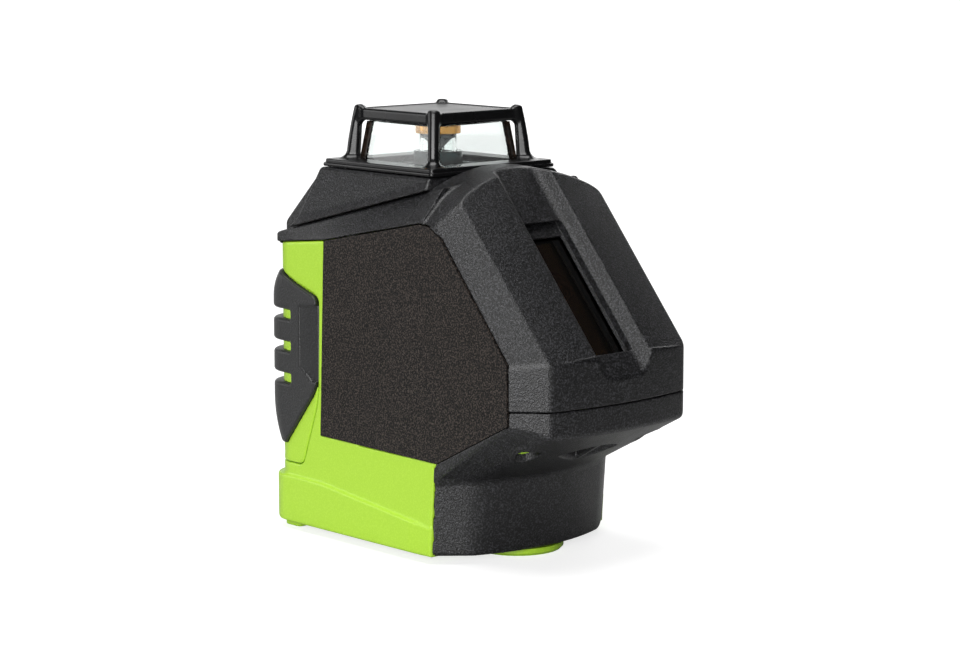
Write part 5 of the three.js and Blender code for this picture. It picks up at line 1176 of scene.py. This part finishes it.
def ring_tree():
    """Thin raised rings round an upright barrel, one above another."""
    tree, given = node_tree("barrel_rings", {
        "Count": 8, "Radius": 6.0 * MM, "Wire": 0.25 * MM, "Step": 1.4 * MM,
    })
    hoop = add(tree, "GeometryNodeCurvePrimitiveCircle", {"Resolution": 64}, {"Radius": given["Radius"]})
    section = add(tree, "GeometryNodeCurvePrimitiveCircle", {"Resolution": 8}, {"Radius": given["Wire"]})
    ring = add(tree, "GeometryNodeCurveToMesh", {}, {
        "Curve": hoop.outputs["Curve"], "Profile Curve": section.outputs["Curve"],
    })
    step = add(tree, "ShaderNodeCombineXYZ", {}, {"Z": given["Step"]})
    row = add(tree, "GeometryNodeMeshLine", {}, {"Count": given["Count"], "Offset": step.outputs[0]})
    rows = add(tree, "GeometryNodeInstanceOnPoints", {}, {
        "Points": given["Geometry"], "Instance": row.outputs["Mesh"],
    })
    points = add(tree, "GeometryNodeRealizeInstances", {}, {"Geometry": rows.outputs["Instances"]})
    return close_tree(tree, given, ring.outputs["Mesh"], points.outputs["Geometry"])


def make_module_rings():
    """The cooling rings round the upper laser module, between the gimbal ring and the deck."""
    _, high = node_box("upper_laser_module")
    start = node_box("gimbal_ring")[1][2] + 2
    piece = points_mesh("upper_module_rings", [(0, TOWER, max(start, PIVOT[2] + 10.6))])
    piece = grown_from(piece, ring_tree(), cast_alloy, radius=(high[0] + 0.02) * MM, wire=0.2 * MM, count=3,
                       step=1.3 * MM)
    finished(piece, "pendulum", "cast_alloy", cast_alloy)


# ---- ring window panes
PANE_FOOT_HALF, PANE_THICK = 17, 1.8


def pane_half(z):
    """Half the distance between the outer faces of two panes, which lean inwards."""
    return PANE_FOOT_HALF - (z - DECK - 2) * PANE_LEAN


def make_panes():
    """Four leaning panes, mitred where each pair meets."""
    foot, head = DECK + GAP, GUARD_TOP - 4.7 - GAP
    names = {"front": (0, -1), "right": (1, 0), "rear": (0, 1), "left": (-1, 0)}
    for label, (nx, ny) in names.items():
        node = f"ring_window_{label}"

        def field(x, y, z, nx=nx, ny=ny):
            out = x * nx + (y - TOWER) * ny
            across = x * ny - (y - TOWER) * nx
            half = pane_half(z)
            slab = between(out, half - PANE_THICK, half) * 0.99
            mitre = (np.abs(across) + 0.25 - out) * math.sqrt(0.5)
            return meet_all(0.12, slab, mitre, between(z, foot, head))

        low, high = node_box(node)
        piece = moulded(f"{node}_pane", field, low, high, 0.4, 0.15)
        finished(piece, "case", "clear_pane", clear_polycarbonate, node)


def make_glue_strips():
    """Dark strips of adhesive up each corner, one on the edge of each of the two panes that meet."""
    inner, outer, width = 0.02, 0.2, 2.3
    vertices, faces = [], []
    for way_x, way_y, swap in ((a, b, c) for a in (-1, 1) for b in (-1, 1) for c in (False, True)):
        first = len(vertices)
        for z in (DECK + GAP, GUARD_TOP - 4.8 - GAP):
            half = pane_half(z)
            for out, along in ((inner, -width), (outer, -width), (outer, outer - 0.01), (inner, inner - 0.01)):
                u, v = (half + along, half + out) if swap else (half + out, half + along)
                vertices.append((way_x * u * MM, (TOWER + way_y * v) * MM, z * MM))
        faces += [[first + k for k in face] for face in (
            (0, 1, 2, 3), (4, 5, 6, 7), (0, 1, 5, 4), (1, 2, 6, 5), (2, 3, 7, 6), (3, 0, 4, 7))]
    piece = new_object("pane_glue_strips", vertices, faces, smooth=False)
    with_outward_faces(piece)
    finished(piece, "case", "inner_black", pane_glue)


def make_screw_sleeves():
    """The housing's lime sleeves, which show in the wells of the nose screws."""
    def field(x, y, z):
        ring = np.abs(np.hypot(np.abs(x) - SCREW_X, y - SCREW_Y) - 3.2) - 0.35
        return meet_all(0.1, ring, nose_underside(x, y, z, 2.0), z - SEAM + 6)

    low = np.array([-SCREW_X - 4, SCREW_Y - 4, BASE + 28])
    piece = moulded("nose_screw_sleeves", field, low, np.array([SCREW_X + 4, SCREW_Y + 4, SEAM - 6]), 0.3, 0.4)
    finished(piece, "case", "lime_housing", lime_abs)


# ---- mouldings and finishes of the whole
# The piece, the node that it stands for, its field, body, slot and material, the grid's step, the share of faces
# kept, and how far the grid reaches below and above the node's box.
MOULDINGS = [
    ("front_cover_moulding", "front_cover", front_cover_field, "case", "black_cover", textured_abs_painted_glints, 0.46, 0.42,
     0.5, 1),
    ("front_base_moulding", "front_base_cover", front_base_field, "case", "black_cover", textured_abs_painted_glints, 0.48, 0.42),
    ("top_cover_moulding", "top_cover", top_cover_field, "case", "black_cover", textured_abs_painted_glints, 0.5, 0.35, 1),
    ("housing_moulding", "main_housing", housing_field, "case", "lime_housing", lime_abs, 0.6, 0.45, 0.5,
     [0.5, SKIRT_REAR + 1, 0.5]),
    ("keypad_moulding", "keypad_panel", keypad_field, "case", "black_cover", textured_abs_painted_glints, 0.35, 0.4),
    ("guard_moulding", "window_guard", guard_field, "case", "gloss_black", gloss_abs, 0.35, 0.5),
    ("battery_door_leaf", "battery_door", door_field, "battery_door", "lime_housing", lime_abs, 0.5, 0.4),
    ("rear_grip_moulding", "rear_grip", grip_field, "battery_door", "rubber_grip", grip_rubber, 0.5, 0.5),
    ("door_latch_pad", "door_latch", latch_field, "door_latch", "black_cover", textured_abs_painted_glints, 0.25, 0.4),
    ("lock_slider_pad", "lock_slider", slider_field, "lock_slider", "black_cover", textured_abs_painted_glints, 0.3, 0.4),
]


def make_moulding(name, node, field, body, slot_name, material, step, keep, below=0.5, above=0.5):
    """One row of the table, drawn, finished and put on its body."""
    low, high = node_box(node)
    piece = moulded(name, field, low - below, high + above, step, keep)
    finished(piece, body, slot_name, material, node)


CAD_FINISHES = {
    panel_film_painted_glitter: ["right_side_panel", "left_side_panel"],
    smoked_acrylic_painted_brown_reflection: ["front_window"],
    filled_nylon: ["window_frame", "battery_tray", "chassis"],
    lime_abs: ["tripod_boss"],
    brass: ["thread_insert", "balance_weight"],
    plated_steel: ["door_hinge_pin", "upper_contact_left", "upper_contact_right", "pitch_pin_left",
                   "pitch_pin_right", "pitch_bearing_left", "pitch_bearing_right", "roll_pin_front",
                   "roll_pin_rear", "damping_magnet"],
    cast_alloy: ["gimbal_ring", "pendulum_body", "upper_laser_module", "front_laser_module"],
    clear_polycarbonate: ["front_line_lens"],
    bare_copper: ["damping_plate"],
    cell_film: [f"battery_cell_{k}" for k in (1, 2, 3, 4)],
    board_laminate: ["control_board"],
    lamp_acrylic: ["status_lens"],
    grip_rubber: ["lock_plunger"],
}


def finish_cad_nodes():
    """Gives every CAD node that stays its real finish."""
    for material, names in CAD_FINISHES.items():
        for name in names:
            for slot in nodes[name].material_slots:
                slot.material = material


# ---- studio
def glow_of(tree, seen, cast):
    """The strength at which a surface is seen, and the strength with which it lights other surfaces."""
    ray = add(tree, "ShaderNodeLightPath", {}).outputs
    looking = add(tree, "ShaderNodeMath", {"operation": "MAXIMUM"}, {
        0: ray["Is Camera Ray"], 1: ray["Is Transmission Ray"],
    })
    return add(tree, "ShaderNodeMapRange", {"To Min": cast, "To Max": seen}, {
        "Value": looking.outputs[0],
    }).outputs["Result"]


def make_stage():
    """A pale floor with a white backdrop behind it."""
    view = Matrix.Rotation(math.atan2(CAMERA_AT[0] - TARGET[0], TARGET[1] - CAMERA_AT[1]), 3, "Z")
    floor = new_object("paper_floor", [view @ Vector(p) for p in (
        (-0.3, -0.2, 0), (0.3, -0.2, 0), (0.75, 1.6, 0), (-0.75, 1.6, 0))], [(0, 1, 2, 3)])
    backdrop = new_object("backdrop", [view @ Vector(p) for p in (
        (-1.2, 1.5, -0.1), (1.2, 1.5, -0.1), (1.2, 1.5, 1.4), (-1.2, 1.5, 1.4))], [(0, 3, 2, 1)])
    for piece, seen, cast in ((floor, 0.75, 0.02), (backdrop, 1.0, 0.7)):
        material, tree, body, place = new_material(piece.name + "_matt", {
            "Roughness": 0.9, "Specular IOR Level": 0.2, "Emission Color": linear("#FFFFFF"),
        })
        tree.links.new(glow_of(tree, seen, cast), body.inputs["Emission Strength"])
        fibre = add(tree, "ShaderNodeTexNoise", {"Scale": per_mm(2.0), "Detail": 3.0}, {"Vector": place})
        tone = add(tree, "ShaderNodeMix", {"data_type": "RGBA", 6: linear("#B8B8B8"), 7: linear("#BEBEBE")},
                   {0: fibre.outputs["Fac"]})
        tree.links.new(tone.outputs[2], body.inputs["Base Color"])
        piece.data.materials.append(material)


def make_light(name, place, size, power):
    data = bpy.data.lights.new(name, "AREA")
    data.shape = "RECTANGLE"
    data.size, data.size_y = size
    data.energy = power
    light = in_scene(name, data)
    light.location = place
    light.rotation_euler = (Vector((0, 0, 0.06)) - Vector(place)).to_track_quat("-Z", "Y").to_euler()


CAMERA_AT = (-0.5558, -0.6003, 0.1924)
TARGET = (0, 0.0013, 0.0646)


def make_studio():
    data = bpy.data.cameras.new("studio_camera")
    data.lens, data.sensor_width = 101.75, 36
    data.clip_start = 0.01
    camera = in_scene("studio_camera", data)
    camera.location = CAMERA_AT
    camera.rotation_euler = (Vector(TARGET) - Vector(CAMERA_AT)).to_track_quat("-Z", "Y").to_euler()
    bpy.context.scene.camera = camera
    world = bpy.data.worlds.new("studio_air")
    world.use_nodes = True
    tree = world.node_tree
    air = tree.nodes["Background"]
    air.inputs["Color"].default_value = linear("#FFFFFF")
    tree.links.new(glow_of(tree, 1.0, 0.04), air.inputs["Strength"])
    bpy.context.scene.world = world
    bpy.context.scene.view_settings.view_transform = "Standard"
    make_light("softbox_left", (-1.08, -0.74, 0.3), (0.7, 0.7), 15)
    make_light("softbox_rear", (-0.72, 0.85, 0.32), (0.8, 0.6), 3)
    make_light("softbox_top", (-0.15, -0.05, 1.2), (0.8, 0.8), 11)
    make_light("softbox_right", (1.0, 0.6, 0.7), (0.5, 0.7), 2)


make_studio()
make_stage()
for row in MOULDINGS:
    make_moulding(*row)
for number in (1, 2, 3):
    make_key(number)
make_mirror_stack()
make_panes()
make_glue_strips()
make_screw_sleeves()
make_screws()
make_contacts()
make_module_rings()
finish_cad_nodes()
